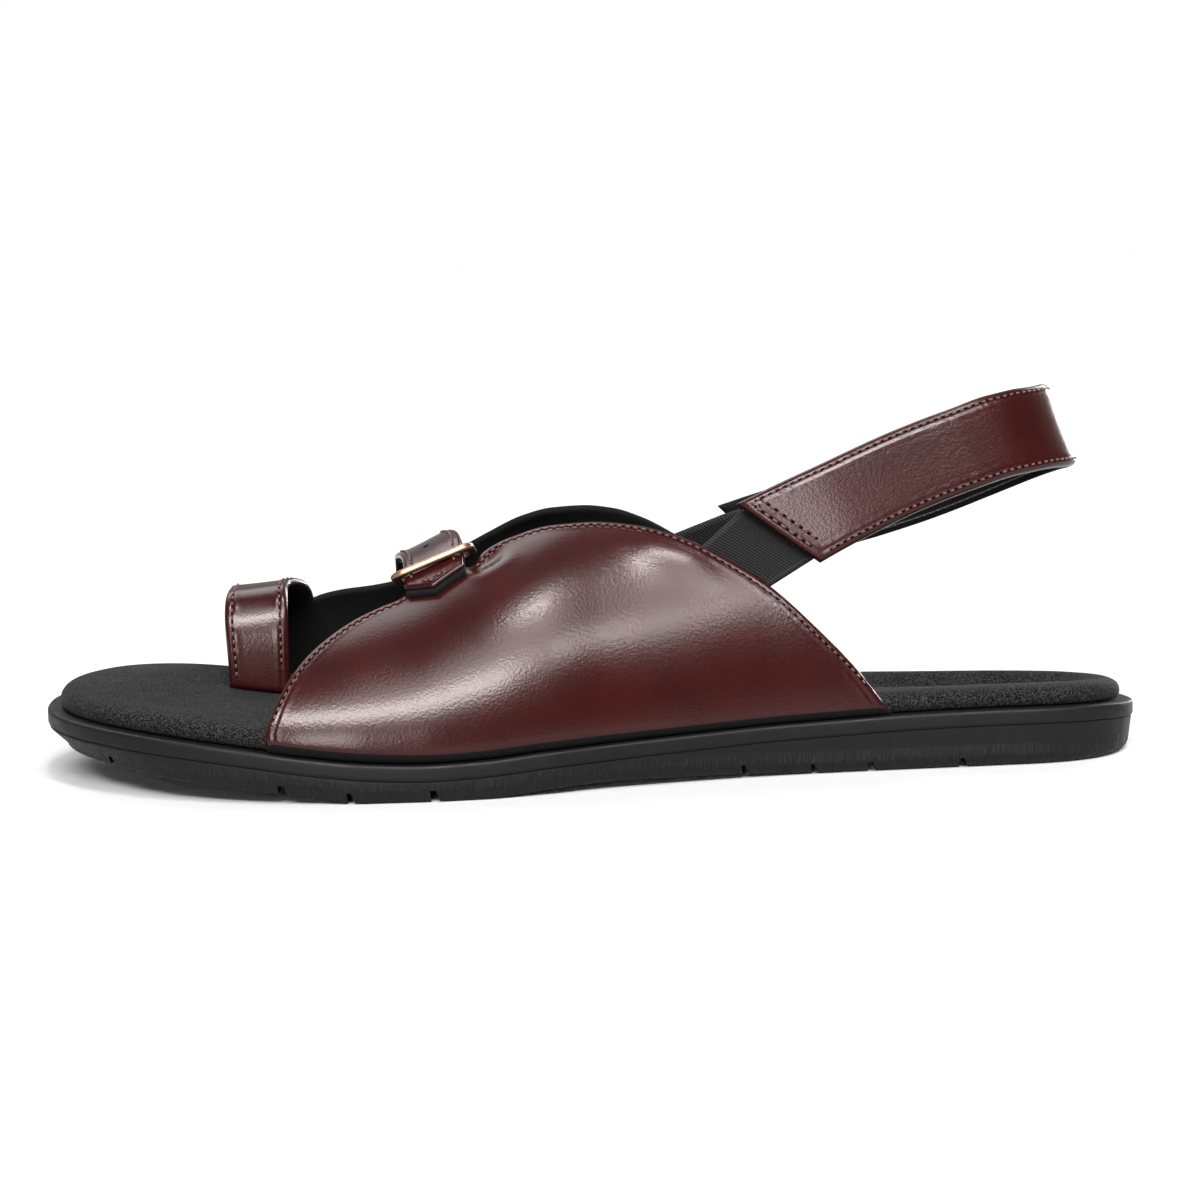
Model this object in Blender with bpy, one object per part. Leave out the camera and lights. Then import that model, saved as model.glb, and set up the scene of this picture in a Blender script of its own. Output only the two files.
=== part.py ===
"""A left men's chappal: a sling-back toe-loop sandal with a padded footbed on a moulded rubber sole.

Metres, +Z up, toe along -X, heel along +X, outer (lateral) side at -Y, inner (medial) side at +Y.
The origin is the centre of the shoe's box, on the floor. The tables below are in millimetres.

The sole and the footbed are stacks of rings, each ring the plan outline moved inwards.
The upper is a wall over a last: every section of the last is two quarter curves that meet at a crest.
"""

import math

import bmesh
import bpy
import numpy as np

MM = 0.001

# Driving sizes
LENGTH = 288.0
GAP = 0.3                # between pieces that touch on the real shoe
WALL = 2.2               # leather and lining of the upper
RIM_WIDTH = 3.5          # rim of the sole that shows around the footbed
TOE_ROUND = 46.0         # how far back the toe's curve reaches
HEEL_ROUND = 37.0        # how far forward the heel's curve reaches
END_FULLNESS = 2.4       # 2 rounds the ends as ellipses, more is blunter
SIDE_POINTS = 34         # outline points down each side of the sole

# Sole: edges of the plan before its ends are rounded, heights of the rim and of the underside,
# the height of the rounded foot of its wall, how far in that foot is tucked, and how much lower
# the rim is on the medial side
SOLE_COLUMNS = ("x", "lateral", "medial", "rim", "under", "foot", "tuck", "drop")
SOLE_TABLE = (
    (-144, -27.0, 51.0, 17.6, 7.8, 1.2, 3.6, 0.0),
    (-128, -33.0, 51.4, 16.8, 7.0, 1.2, 2.4, 0.0),
    (-110, -40.0, 51.5, 15.5, 5.3, 1.2, 0.8, 0.0),
    (-92, -46.0, 51.5, 13.6, 3.5, 1.2, 0.0, 0.0),
    (-74, -49.9, 50.8, 11.3, 1.7, 1.0, 0.0, 0.0),
    (-60, -51.2, 50.0, 9.9, 0.0, 0.8, 0.0, 0.0),
    (-46, -51.4, 48.8, 9.3, 0.0, 0.8, 0.0, 0.0),
    (-32, -50.5, 46.9, 9.7, 0.0, 0.8, 0.0, 0.0),
    (-16, -48.0, 44.0, 10.9, 1.3, 1.2, 0.0, 0.0),
    (0, -43.5, 40.5, 11.6, 1.8, 1.9, 0.0, 0.2),
    (22, -38.5, 37.0, 12.5, 1.4, 2.3, 0.0, 0.8),
    (45, -34.0, 35.0, 13.4, 0.5, 2.6, 0.0, 1.6),
    (60, -32.4, 34.3, 13.9, 0.0, 2.7, 0.0, 2.2),
    (78, -31.4, 33.7, 14.6, 0.0, 2.8, 0.0, 3.0),
    (105, -30.0, 33.2, 14.9, 0.0, 2.8, 0.0, 3.8),
    (128, -29.0, 32.8, 14.8, 0.0, 2.8, 0.0, 4.1),
    (144, -28.0, 32.2, 14.3, 0.4, 2.6, 0.0, 4.1),
)

# Sole wall above its rounded foot: how far in, and the height from the rim
SOLE_WALL = (
    (0.4, -4.1),
    (0.0, -3.7),
    (0.0, -0.5),
    (0.5, 0.0),
)
SOLE_FOOT_IN = 1.1
SOLE_FOOT_SLOPE = 0.9
SOLE_LEDGE_IN = 9.0

# Tread grooves across the sole; those that reach its side open there as notches
GROOVE_COLUMNS = ("x", "width", "depth", "slant", "reach")
GROOVE_TABLE = (
    (-122, 2.2, 3.0, 8.0, 130),
    (-99, 3.0, 2.2, 6.0, 60),
    (-78, 4.0, 2.6, 6.0, 130),
    (-62, 2.8, 2.8, 4.0, 130),
    (-43, 3.6, 3.0, 0.0, 130),
    (38, 2.4, 2.8, 8.0, 130),
    (56, 2.4, 2.8, 8.0, 130),
    (71, 3.4, 2.6, 8.0, 130),
    (95, 3.6, 2.6, 8.0, 130),
    (119, 3.0, 2.2, 6.0, 40),
)
GROOVE_LEAN = -1.2       # how far forward its floor lies
GROOVE_FLARE = 0.5       # how much wider each side is below the sole
GROOVE_BELOW = 1.5       # how far below the underside each cut starts
GROOVE_FLOOR = 0.6       # width of its floor as a share of its width

# Footbed side and shoulder, from its underside up: how far in from the rim, height above the rim
FOOTBED_PROFILE = (
    (1.6, 0.3),
    (0.3, 1.0),
    (0.0, 2.2),
    (0.3, 3.6),
    (1.4, 4.8),
    (3.4, 5.4),
    (7.0, 5.6),
    (12.0, 5.6),
    (17.0, 5.6),
    (22.0, 5.6),
)
FOOTBED_BASE_IN = 9.0    # middle of its underside, in from the rim
SHOULDER_RISE = 3.0      # rows higher than this follow the top's swells
SHOULDER_IN = 1.0        # the swells start here and are full after SHOULDER_SPAN
SHOULDER_SPAN = 6.5
CUP_CENTRE = (98.0, 4.0)
CUP_REACH = (40.0, 25.0)
CUP_DEPTH = 3.2
ARCH_CENTRE = (24.0, 34.0)
ARCH_REACH = (44.0, 26.0)
ARCH_RISE = 2.4
CROWN_CENTRE = (-104.0, 26.0)
CROWN_REACH = (60.0, 50.0)
CROWN_RISE = 2.0
HEEL_SIDE_CENTRE = (108.0, 32.0)
HEEL_SIDE_REACH = (75.0, 34.0)
HEEL_SIDE_DROP = 3.8

DRAWN_TIP = 1.0          # the upper's tables are drawn on a shoe tipped this far forward, in degrees
DRAWN_PIVOT = (-50.0, 13.0)
DRAWN_RISE = 0.45


def stood_level(rows, height=1):
    """The same rows with the drawn shoe set level. height is the column that holds z."""
    tip = math.radians(DRAWN_TIP)
    level = []
    for row in rows:
        x, z = row[0], row[height]
        moved = [x + tip * (z - DRAWN_PIVOT[1]), *row[1:]]
        moved[height] = z - tip * (x - DRAWN_PIVOT[0]) + DRAWN_RISE
        level.append(tuple(moved))
    return tuple(level)


# Last under the upper: the crest line over the foot and the fullness of each side (2 is an ellipse)
LAST_COLUMNS = ("x", "crest_y", "crest_z", "full_lateral", "full_medial")
LAST_TABLE = stood_level((
    (-103, 28.0, 41.2, 2.1, 2.3),
    (-87, 27.0, 42.8, 2.1, 2.3),
    (-69, 22.0, 46.4, 2.1, 2.3),
    (-49, 17.0, 52.2, 2.05, 2.3),
    (-37, 15.0, 58.2, 2.0, 2.25),
    (-29, 14.0, 61.4, 2.0, 2.25),
    (-9, 13.0, 67.0, 1.95, 2.2),
    (11, 12.0, 69.5, 1.9, 2.2),
    (31, 10.0, 71.5, 1.9, 2.2),
    (51, 8.0, 73.0, 1.9, 2.2),
    (81, 6.0, 74.5, 1.9, 2.2),
), 2)

# Curved edge of each side panel, from its front foot over the top to its rear foot.
# Under the buckle the lateral edge rises in a short tab that the strap covers.
EDGE_COLUMNS = ("x", "z")
LATERAL_EDGE = stood_level((
    (-84.5, 17.0),
    (-83.1, 21.2),
    (-80.7, 26.4),
    (-76.0, 32.8),
    (-69.0, 38.4),
    (-62.2, 42.2),
    (-56.4, 44.6),
    (-50.4, 47.0),
    (-48.9, 48.2),
    (-47.3, 50.8),
    (-45.5, 52.6),
    (-41.9, 54.5),
    (-37.4, 56.5),
    (-35.9, 56.2),
    (-34.5, 54.9),
    (-32.9, 55.4),
    (-29.9, 57.9),
    (-22.1, 61.3),
    (-11.7, 64.1),
    (-1.0, 64.9),
    (8.1, 64.2),
    (18.9, 61.9),
    (25.6, 59.5),
    (32.4, 56.1),
    (42.1, 50.0),
    (54.1, 39.2),
    (64.0, 29.1),
    (69.4, 22.2),
))
LATERAL_FOOT = (-84.2, 74.1)
MEDIAL_EDGE = stood_level((
    (-80.9, 35.0),
    (-75.0, 39.6),
    (-66.5, 42.0),
    (-59.2, 43.0),
    (-53.1, 44.2),
    (-43.9, 48.6),
    (-36.9, 52.6),
    (-31.9, 55.5),
    (-26.5, 58.7),
    (-18.1, 63.2),
    (-9.9, 65.6),
    (-1.5, 66.2),
    (6.7, 65.3),
    (15.1, 62.4),
    (22.7, 58.3),
    (32.1, 52.2),
    (42.1, 44.8),
    (53.1, 35.2),
    (61.6, 27.2),
    (66.6, 22.0),
))
MEDIAL_FOOT = (-97.9, 71.6)

# Toe loop: its two edges, and where its near end meets the footbed between the toes
LOOP_FRONT, LOOP_REAR = -96.5, MEDIAL_EDGE[0][0]
LOOP_FOOT_Y = 10.0
LOOP_FULL = 2.6
LOOP_NECK_Z = MEDIAL_EDGE[0][1]
LOOP_CLIMB = 0.4         # share of its rows that climb to the crest

# Buckle strap: its edges at the crest, how far it leans, and its end on the lateral panel
STRAP_FRONT, STRAP_REAR = -51.5, -36.5
STRAP_LEAN = 3.2
STRAP_END = -0.375       # place around the section, -1 at the lateral foot and 0 at the crest
STRAP_POINT = 0.04
STRAP_LIFT = 1.8         # its underside over the last where it lies on the panel
STRAP_TIP_WALL = 3.2
STRAP_LIFT_START = 0.06  # it lifts off the last from here on,
STRAP_LIFT_SPAN = 0.30   # over this much of the way around

# Buckle frame: a rounded ring whose near bar lies over the strap and whose far bar passes under it
BUCKLE_WIDTH = 22.5
BUCKLE_NEAR = -0.325
BUCKLE_FAR = -0.205
BUCKLE_ROD = 1.0
BUCKLE_CORNER = 2.6

# Heel strap: middle line (x, y, z) from its lateral front end, around the heel, to its medial
# front end, how far it leans back in degrees, and its width
SLING_TABLE = stood_level((
    (41.1, -17.5, 59.0, 30.0, 24.4),
    (51.1, -18.3, 64.6, 29.0, 23.2),
    (63.1, -18.8, 70.7, 27.0, 22.2),
    (79.8, -18.6, 78.4, 23.5, 21.8),
    (93.1, -17.8, 83.3, 20.5, 21.8),
    (104.9, -15.0, 86.8, 18.5, 22.4),
    (115.1, -9.6, 88.2, 18.0, 23.0),
    (121.6, -1.8, 88.3, 18.0, 23.4),
    (123.4, 5.6, 87.6, 18.0, 23.4),
    (121.6, 13.0, 85.8, 18.0, 23.2),
    (115.1, 20.6, 81.8, 18.0, 23.0),
    (104.9, 26.0, 76.4, 18.5, 22.6),
    (93.1, 28.4, 71.2, 19.0, 22.2),
    (79.8, 29.2, 66.6, 19.5, 22.0),
    (63.1, 29.0, 62.0, 20.0, 22.0),
    (51.1, 28.6, 58.8, 20.0, 22.0),
    (39.1, 28.0, 55.0, 20.0, 22.0),
), 2)
SLING_TILT = 14.0        # how far its sides lean in over the heel, in degrees
SLING_WALL = 3.0
SLING_CUT = 11.0         # how much further forward its top corners reach
ELASTIC_WALL = 1.4
ELASTIC_SHARE = 0.84     # its width as a share of the strap's
ELASTIC_START = {"lateral": 25.9, "medial": 23.3}
ELASTIC_SPAN = 17.3      # how far along the shoe each elastic's seam in the panel runs
ELASTIC_TUCK = 5.0       # how far each end runs in behind its neighbour


def column(names, table, name):
    """One named column of a table, as an array."""
    return np.array([row[names.index(name)] for row in table], dtype=float)


def smooth(keys, values, at):
    """A smooth curve through the rows of a table that never swings past them."""
    keys = np.asarray(keys, dtype=float)
    values = np.asarray(values, dtype=float)
    step = np.diff(keys)
    rise = np.diff(values) / step
    slope = np.empty_like(values)
    slope[0] = rise[0]
    slope[-1] = rise[-1]
    for i in range(1, len(values) - 1):
        if rise[i - 1] * rise[i] <= 0:
            slope[i] = 0.0
        else:
            slope[i] = (step[i - 1] + step[i]) / (step[i - 1] / rise[i] + step[i] / rise[i - 1])
    at = np.clip(at, keys[0], keys[-1])
    i = np.clip(np.searchsorted(keys, at, side="right") - 1, 0, len(step) - 1)
    t = (at - keys[i]) / step[i]
    rest = 1.0 - t
    return (
        values[i] * (1 + 2 * t) * rest * rest
        + slope[i] * step[i] * t * rest * rest
        + values[i + 1] * t * t * (3 - 2 * t)
        - slope[i + 1] * step[i] * t * t * rest
    )


def sole_at(name, x):
    """A column of the sole's table at any place along the shoe."""
    keys = column(SOLE_COLUMNS, SOLE_TABLE, "x")
    return smooth(keys, column(SOLE_COLUMNS, SOLE_TABLE, name), x)


def last_at(name, x):
    """A column of the last's table at any place along the shoe."""
    keys = column(LAST_COLUMNS, LAST_TABLE, "x")
    return smooth(keys, column(LAST_COLUMNS, LAST_TABLE, name), x)


def end_round(x):
    """1 along the shoe's middle, falling to 0 at its tips along a full, rounded curve."""
    share = 1.0
    from_toe = x + LENGTH / 2
    from_heel = LENGTH / 2 - x
    for distance, reach in ((from_toe, TOE_ROUND), (from_heel, HEEL_ROUND)):
        if distance < reach:
            inner = (reach - distance) / reach
            share *= max(0.0, 1.0 - inner**END_FULLNESS) ** (1.0 / END_FULLNESS)
    return share


def outline_edges(x):
    """The lateral and medial edge of the sole's plan at x."""
    lateral = float(sole_at("lateral", x))
    medial = float(sole_at("medial", x))
    middle = (lateral + medial) / 2
    half = (medial - lateral) / 2 * end_round(x)
    return middle - half, middle + half


def outline():
    """The sole's plan: toe tip, down the lateral side, heel end, and back up the medial side."""
    turns = [math.pi * k / SIDE_POINTS for k in range(SIDE_POINTS + 1)]
    stations = [-LENGTH / 2 * math.cos(turn) for turn in turns]
    lateral = [(x, outline_edges(x)[0]) for x in stations]
    medial = [(x, outline_edges(x)[1]) for x in stations[1:-1]]
    return np.array(lateral + medial[::-1])


def inset(points, distance):
    """The outline moved inwards, square to itself at each point."""
    ahead = np.roll(points, -1, axis=0)
    behind = np.roll(points, 1, axis=0)
    along = ahead - behind
    along /= np.linalg.norm(along, axis=1)[:, None]
    inward = np.stack([-along[:, 1], along[:, 0]], axis=1)
    return points + inward * distance


def material(name, colour, roughness, metallic=0.0):
    """A Principled material with one colour."""
    made = bpy.data.materials.new(name)
    made.use_nodes = True
    shader = made.node_tree.nodes["Principled BSDF"]
    shader.inputs["Base Color"].default_value = (*colour, 1.0)
    shader.inputs["Roughness"].default_value = roughness
    shader.inputs["Metallic"].default_value = metallic
    made.diffuse_color = (*colour, 1.0)
    return made


def solid(name, points, faces, finish):
    """A closed object from points in millimetres, its faces turned outwards."""
    mesh = bpy.data.meshes.new(name)
    mesh.from_pydata([tuple(MM * float(c) for c in p) for p in points], [], faces)
    form = bmesh.new()
    form.from_mesh(mesh)
    bmesh.ops.recalc_face_normals(form, faces=form.faces)
    form.to_mesh(mesh)
    form.free()
    mesh.materials.append(finish)
    made = bpy.data.objects.new(name, mesh)
    bpy.context.scene.collection.objects.link(made)
    return made


def stack(name, rings, finish):
    """A solid from rings of equal length, closed below and above by rungs from side to side."""
    count = len(rings[0])
    half = count // 2
    points = [p for ring in rings for p in ring]
    faces = []
    for r in range(len(rings) - 1):
        for k in range(count):
            n = (k + 1) % count
            faces.append((r * count + k, r * count + n, (r + 1) * count + n, (r + 1) * count + k))
    for start, turn in ((0, False), ((len(rings) - 1) * count, True)):
        for k in range(half):
            ring = [k, k + 1, (count - k - 1) % count, (count - k) % count]
            ring = [start + i for i in dict.fromkeys(ring)]
            faces.append(tuple(ring if turn else ring[::-1]))
    return solid(name, points, faces, finish)


def shell(name, place, cells, finish):
    """A wall with an inner and an outer skin over the named cells of a grid, closed at every border.

    place(i, j, outer) gives the point at a corner of the grid on either skin.
    """
    points = []
    index = {}
    faces = []

    def corner(i, j, outer):
        if (i, j, outer) not in index:
            index[(i, j, outer)] = len(points)
            points.append(place(i, j, outer))
        return index[(i, j, outer)]

    for i, j in sorted(cells):
        ring = ((i, j), (i + 1, j), (i + 1, j + 1), (i, j + 1))
        faces.append(tuple(corner(a, b, True) for a, b in ring))
        faces.append(tuple(corner(a, b, False) for a, b in reversed(ring)))
        beside = ((i, j - 1), (i + 1, j), (i, j + 1), (i - 1, j))
        for side, other in enumerate(beside):
            if other not in cells:
                a, b = ring[side], ring[(side + 1) % 4]
                faces.append((corner(*b, True), corner(*a, True), corner(*a, False), corner(*b, False)))
    return solid(name, points, faces, finish)


def cut(target, cutter, operation="DIFFERENCE"):
    """A Boolean whose cutter stays out of sight."""
    cutter.hide_render = True
    cutter.display_type = "WIRE"
    step = target.modifiers.new(operation.title(), "BOOLEAN")
    step.operation = operation
    step.solver = "EXACT"
    step.object = cutter


# Sole and footbed


def rim_height(x, y):
    """Height of the sole's rim, a little lower towards the medial side of the heel."""
    lateral = float(sole_at("lateral", x))
    across = (y - lateral) / (float(sole_at("medial", x)) - lateral)
    return float(sole_at("rim", x)) - float(sole_at("drop", x)) * min(max(across, 0.0), 1.0)


def rim_ring(distance, rise):
    """A ring in from the outline, at a height over the rim."""
    return [(x, y, rim_height(x, y) + rise) for x, y in inset(outline(), distance)]


def low_ring(distance, rise):
    """A ring in from the outline, at a height over the underside."""
    return [(x, y, float(sole_at("under", x)) + rise) for x, y in inset(outline(), distance)]


def uneven_low_ring(steps):
    """A ring whose distance in and height over the underside are given point by point."""
    plan = outline()
    ring = []
    for k, (distance, rise) in enumerate(steps):
        x, y = inset(plan, distance)[k]
        ring.append((x, y, float(sole_at("under", x)) + rise))
    return ring


def make_outsole(finish):
    """The moulded sole: rounded foot, wall, a step under the rim, and tread grooves across it."""
    foot = []
    tread = []
    for x, y in outline():
        height = float(sole_at("foot", x))
        inward = SOLE_FOOT_IN + float(sole_at("tuck", x))
        foot.append((inward, height))
        tread.append((inward + SOLE_FOOT_SLOPE * height, 0.0))
    rings = [low_ring(SOLE_LEDGE_IN, 0.0), uneven_low_ring(tread), uneven_low_ring(foot)]
    rings += [rim_ring(far, rise) for far, rise in SOLE_WALL]
    rings.append(rim_ring(SOLE_LEDGE_IN, 0.0))
    sole = stack("outsole", rings, finish)
    for row in GROOVE_TABLE:
        groove = dict(zip(GROOVE_COLUMNS, row))
        floor = float(sole_at("under", groove["x"]))
        wide = groove["width"] / 2 + GROOVE_FLARE
        narrow = groove["width"] / 2 * GROOVE_FLOOR
        deep = groove["depth"]
        section = (
            (-wide, -GROOVE_BELOW),
            (wide, -GROOVE_BELOW),
            (GROOVE_LEAN + narrow, deep),
            (GROOVE_LEAN - narrow, deep),
        )
        points = []
        for side in (-1, 1):
            x = groove["x"] + side * groove["slant"] / 2
            y = side * groove["reach"] / 2
            points += [(x + dx, y, floor + dz) for dx, dz in section]
        faces = [(0, 1, 2, 3), (7, 6, 5, 4)]
        faces += [(k, k + 4, (k + 1) % 4 + 4, (k + 1) % 4) for k in range(4)]
        cut(sole, solid(f"groove_{int(groove['x'])}", points, faces, finish))
    return sole


def dome(x, y, centre, reach):
    """1 at a centre, falling smoothly to 0 at the reach along each axis."""
    far = math.hypot((x - centre[0]) / reach[0], (y - centre[1]) / reach[1])
    return 0.0 if far >= 1.0 else (1.0 - far * far) ** 2


def footbed_swell(x, y):
    """How much the footbed's top rises or sinks: heel cup, arch and the crown under the toes."""
    return (
        CROWN_RISE * dome(x, y, CROWN_CENTRE, CROWN_REACH)
        + ARCH_RISE * dome(x, y, ARCH_CENTRE, ARCH_REACH)
        - CUP_DEPTH * dome(x, y, CUP_CENTRE, CUP_REACH)
        - HEEL_SIDE_DROP * dome(x, y, HEEL_SIDE_CENTRE, HEEL_SIDE_REACH)
    )


def footbed_top(x, y):
    """Height of the footbed's top away from its shoulder."""
    return rim_height(x, y) + FOOTBED_PROFILE[-1][1] + footbed_swell(x, y)


def make_footbed(finish):
    """The padded footbed, inset from the rim, with a rounded side and a cupped heel."""
    rings = [rim_ring(RIM_WIDTH + FOOTBED_BASE_IN, FOOTBED_PROFILE[0][1])]
    for far, rise in FOOTBED_PROFILE:
        ring = rim_ring(RIM_WIDTH + far, rise)
        share = 0.0
        if rise > SHOULDER_RISE:
            share = min(1.0, max(0.0, (far - SHOULDER_IN) / SHOULDER_SPAN))
        rings.append([(x, y, z + share * footbed_swell(x, y)) for x, y, z in ring])
    return stack("footbed", rings, finish)


# Upper


def last_point(x, a):
    """A point of the last: a is -1 at the lateral foot, 0 at the crest and 1 at the medial foot."""
    lateral, medial = outline_edges(x)
    side = "lateral" if a < 0 else "medial"
    foot_y = lateral + RIM_WIDTH - GAP if a < 0 else medial - RIM_WIDTH + GAP
    crest_y = float(last_at("crest_y", x))
    base_z = rim_height(x, foot_y) + GAP
    rise = float(last_at("crest_z", x)) - base_z
    power = 2.0 / float(last_at("full_" + side, x))
    turn = (1.0 - min(abs(a), 1.0)) * math.pi / 2
    y = crest_y + (foot_y - crest_y) * math.cos(turn) ** power
    return np.array([x, y, base_z + rise * math.sin(turn) ** power])


def off_surface(point_at, u, v, distance, du=0.4, dv=0.004):
    """The point of a surface moved outwards along its normal."""
    along = point_at(u + du, v) - point_at(u - du, v)
    around = point_at(u, min(v + dv, 1.0)) - point_at(u, max(v - dv, -1.0))
    normal = np.cross(along, around)
    normal /= np.linalg.norm(normal)
    return point_at(u, v) + normal * distance


def wall_point(x, a, distance):
    """A point of the upper's wall, this far out from the last."""
    return off_surface(last_point, x, a, distance)


def around_at_height(x, z, side):
    """The place around the section where the wall's outer face has this height."""
    low, high = 0.0, 1.0
    for _ in range(30):
        middle = (low + high) / 2
        if wall_point(x, side * middle, WALL)[2] > z:
            low = middle
        else:
            high = middle
    return side * (low + high) / 2


def edge_samples(table, count):
    """Points spaced evenly along a panel's curved edge."""
    points = np.array(table, dtype=float)
    run = np.concatenate([[0.0], np.cumsum(np.linalg.norm(np.diff(points, axis=0), axis=1))])
    at = np.linspace(0.0, run[-1], count)
    return list(zip(smooth(run, points[:, 0], at), smooth(run, points[:, 1], at)))


def make_lateral_panel(finish, columns=40, rows=12):
    """The large outer panel, from its foot on the rim up to its curved edge."""
    edge = edge_samples(LATERAL_EDGE, columns + 1)
    tops = [(x, around_at_height(x, z, -1)) for x, z in edge]
    feet = np.linspace(*LATERAL_FOOT, columns + 1)

    def place(i, j, outer):
        share = j / rows
        top_x, top_a = tops[i]
        x = feet[i] + (top_x - feet[i]) * share
        a = -1.0 + (top_a + 1.0) * share
        return wall_point(x, a, WALL if outer else 0.0)

    cells = {(i, j) for i in range(columns) for j in range(rows)}
    return shell("upper", place, cells, finish)


def loop_point(x, t):
    """The toe loop's form past the crest: t is 0 at the crest and 1 at its foot between the toes."""
    crest_y = float(last_at("crest_y", x))
    crest_z = float(last_at("crest_z", x))
    base_z = footbed_top(x, LOOP_FOOT_Y) + GAP
    power = 2.0 / LOOP_FULL
    turn = (1.0 - min(max(t, 0.0), 1.0)) * math.pi / 2
    y = crest_y + (LOOP_FOOT_Y + WALL - crest_y) * math.cos(turn) ** power
    return np.array([x, y, base_z + (crest_z - base_z) * math.sin(turn) ** power])


def make_medial_panel(finish, rows=10, reach_rows=16):
    """The inner panel with the toe loop and the buckle strap that run on from its upper edge."""
    loop_columns, strap_columns = 5, 6
    loop = list(np.linspace(LOOP_FRONT, LOOP_REAR, loop_columns + 1))
    before = list(np.linspace(MEDIAL_EDGE[0][0], STRAP_FRONT, 5))
    strap = list(np.linspace(STRAP_FRONT, STRAP_REAR, strap_columns + 1))
    behind = list(np.linspace(STRAP_REAR, MEDIAL_EDGE[-1][0], 23))
    tops_x = loop + before + strap[1:] + behind[1:]
    loop_cells = range(loop_columns)
    first_strap = len(loop) + len(before) - 1
    strap_cells = range(first_strap, first_strap + strap_columns)
    columns = len(tops_x) - 1
    edge_x = column(EDGE_COLUMNS, MEDIAL_EDGE, "x")
    edge_z = column(EDGE_COLUMNS, MEDIAL_EDGE, "z")
    tops = []
    for x in tops_x:
        height = LOOP_NECK_Z if x <= LOOP_REAR else float(smooth(edge_x, edge_z, x))
        tops.append((x, around_at_height(x, height, 1)))
    foot_share = [(x - tops_x[0]) / (tops_x[-1] - tops_x[0]) for x in tops_x]
    feet = [MEDIAL_FOOT[0] + (MEDIAL_FOOT[1] - MEDIAL_FOOT[0]) * share for share in foot_share]

    def strap_place(i, share, outer):
        x, top_a = tops[i]
        across = (i - first_strap) / strap_columns * 2.0 - 1.0
        end = STRAP_END - STRAP_POINT * (1.0 - abs(across))
        a = top_a + (end - top_a) * share
        past = min(1.0, max(0.0, (STRAP_LIFT_START - a) / STRAP_LIFT_SPAN))
        ease = past * past * (3 - 2 * past)
        inner = STRAP_LIFT * ease
        wall = WALL + (STRAP_TIP_WALL - WALL) * ease
        return wall_point(x + STRAP_LEAN * ease, a, inner + (wall if outer else 0.0))

    def place(i, j, outer):
        top_x, top_a = tops[i]
        if j <= rows:
            share = j / rows
            x = feet[i] + (top_x - feet[i]) * share
            a = 1.0 + (top_a - 1.0) * share
            return wall_point(x, a, WALL if outer else 0.0)
        share = (j - rows) / reach_rows
        if i >= first_strap:
            return strap_place(i, share, outer)
        if share <= LOOP_CLIMB:
            return wall_point(top_x, top_a * (1.0 - share / LOOP_CLIMB), WALL if outer else 0.0)
        t = (share - LOOP_CLIMB) / (1.0 - LOOP_CLIMB)
        return off_surface(loop_point, top_x, t, -WALL if outer else 0.0)

    cells = {(i, j) for i in range(columns) for j in range(rows)}
    for group in (loop_cells, strap_cells):
        cells |= {(i, j) for i in group for j in range(rows, rows + reach_rows)}
    return shell("medial_panel", place, cells, finish)


def make_upper(finish):
    """One hollow upper: the lateral panel joined to the medial panel under the buckle."""
    upper = make_lateral_panel(finish)
    cut(upper, make_medial_panel(finish), "UNION")
    return upper


# Buckle, elastics and heel strap


def make_buckle(finish, corner_points=6, around=10):
    """A rounded ring of rod: one long bar over the strap, the other under it."""
    middle = (STRAP_FRONT + STRAP_REAR) / 2 + STRAP_LEAN
    over = STRAP_LIFT + STRAP_TIP_WALL + BUCKLE_ROD + GAP
    under = -(BUCKLE_ROD + GAP)
    near = wall_point(middle, BUCKLE_NEAR, over)
    far = wall_point(middle, BUCKLE_FAR, under)
    across = wall_point(middle + 6, BUCKLE_NEAR, over) - wall_point(middle - 6, BUCKLE_NEAR, over)
    across /= np.linalg.norm(across)
    down = near - far
    down -= across * (down @ across)
    depth = np.linalg.norm(down)
    down /= depth
    normal = np.cross(across, down)
    centre = (near + far) / 2
    path = []
    corners = ((1, 1, 0), (-1, 1, 90), (-1, -1, 180), (1, -1, 270))
    for side, end, start in corners:
        middle_u = side * (BUCKLE_WIDTH / 2 - BUCKLE_ROD - BUCKLE_CORNER)
        middle_v = end * (depth / 2 - BUCKLE_CORNER)
        for k in range(corner_points):
            turn = math.radians(start + 90 * k / (corner_points - 1))
            u = middle_u + BUCKLE_CORNER * math.cos(turn)
            v = middle_v + BUCKLE_CORNER * math.sin(turn)
            path.append((u, v))
    points = []
    for k, (u, v) in enumerate(path):
        ahead = path[(k + 1) % len(path)]
        behind = path[k - 1]
        tangent = np.array([ahead[0] - behind[0], ahead[1] - behind[1]])
        tangent /= np.linalg.norm(tangent)
        outward = across * tangent[1] - down * tangent[0]
        spot = centre + across * u + down * v
        for m in range(around):
            turn = 2 * math.pi * m / around
            points.append(spot + BUCKLE_ROD * (outward * math.cos(turn) + normal * math.sin(turn)))
    faces = []
    for k in range(len(path)):
        n = (k + 1) % len(path)
        for m in range(around):
            q = (m + 1) % around
            faces.append((k * around + m, k * around + q, n * around + q, n * around + m))
    return solid("buckle_frame", points, faces, finish)


def sling_line():
    """The heel strap's middle line and how far along it each of its rows lies."""
    line = np.array(SLING_TABLE, dtype=float)
    steps = np.linalg.norm(np.diff(line[:, :3], axis=0), axis=1)
    return line, np.concatenate([[0.0], np.cumsum(steps)])


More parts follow.
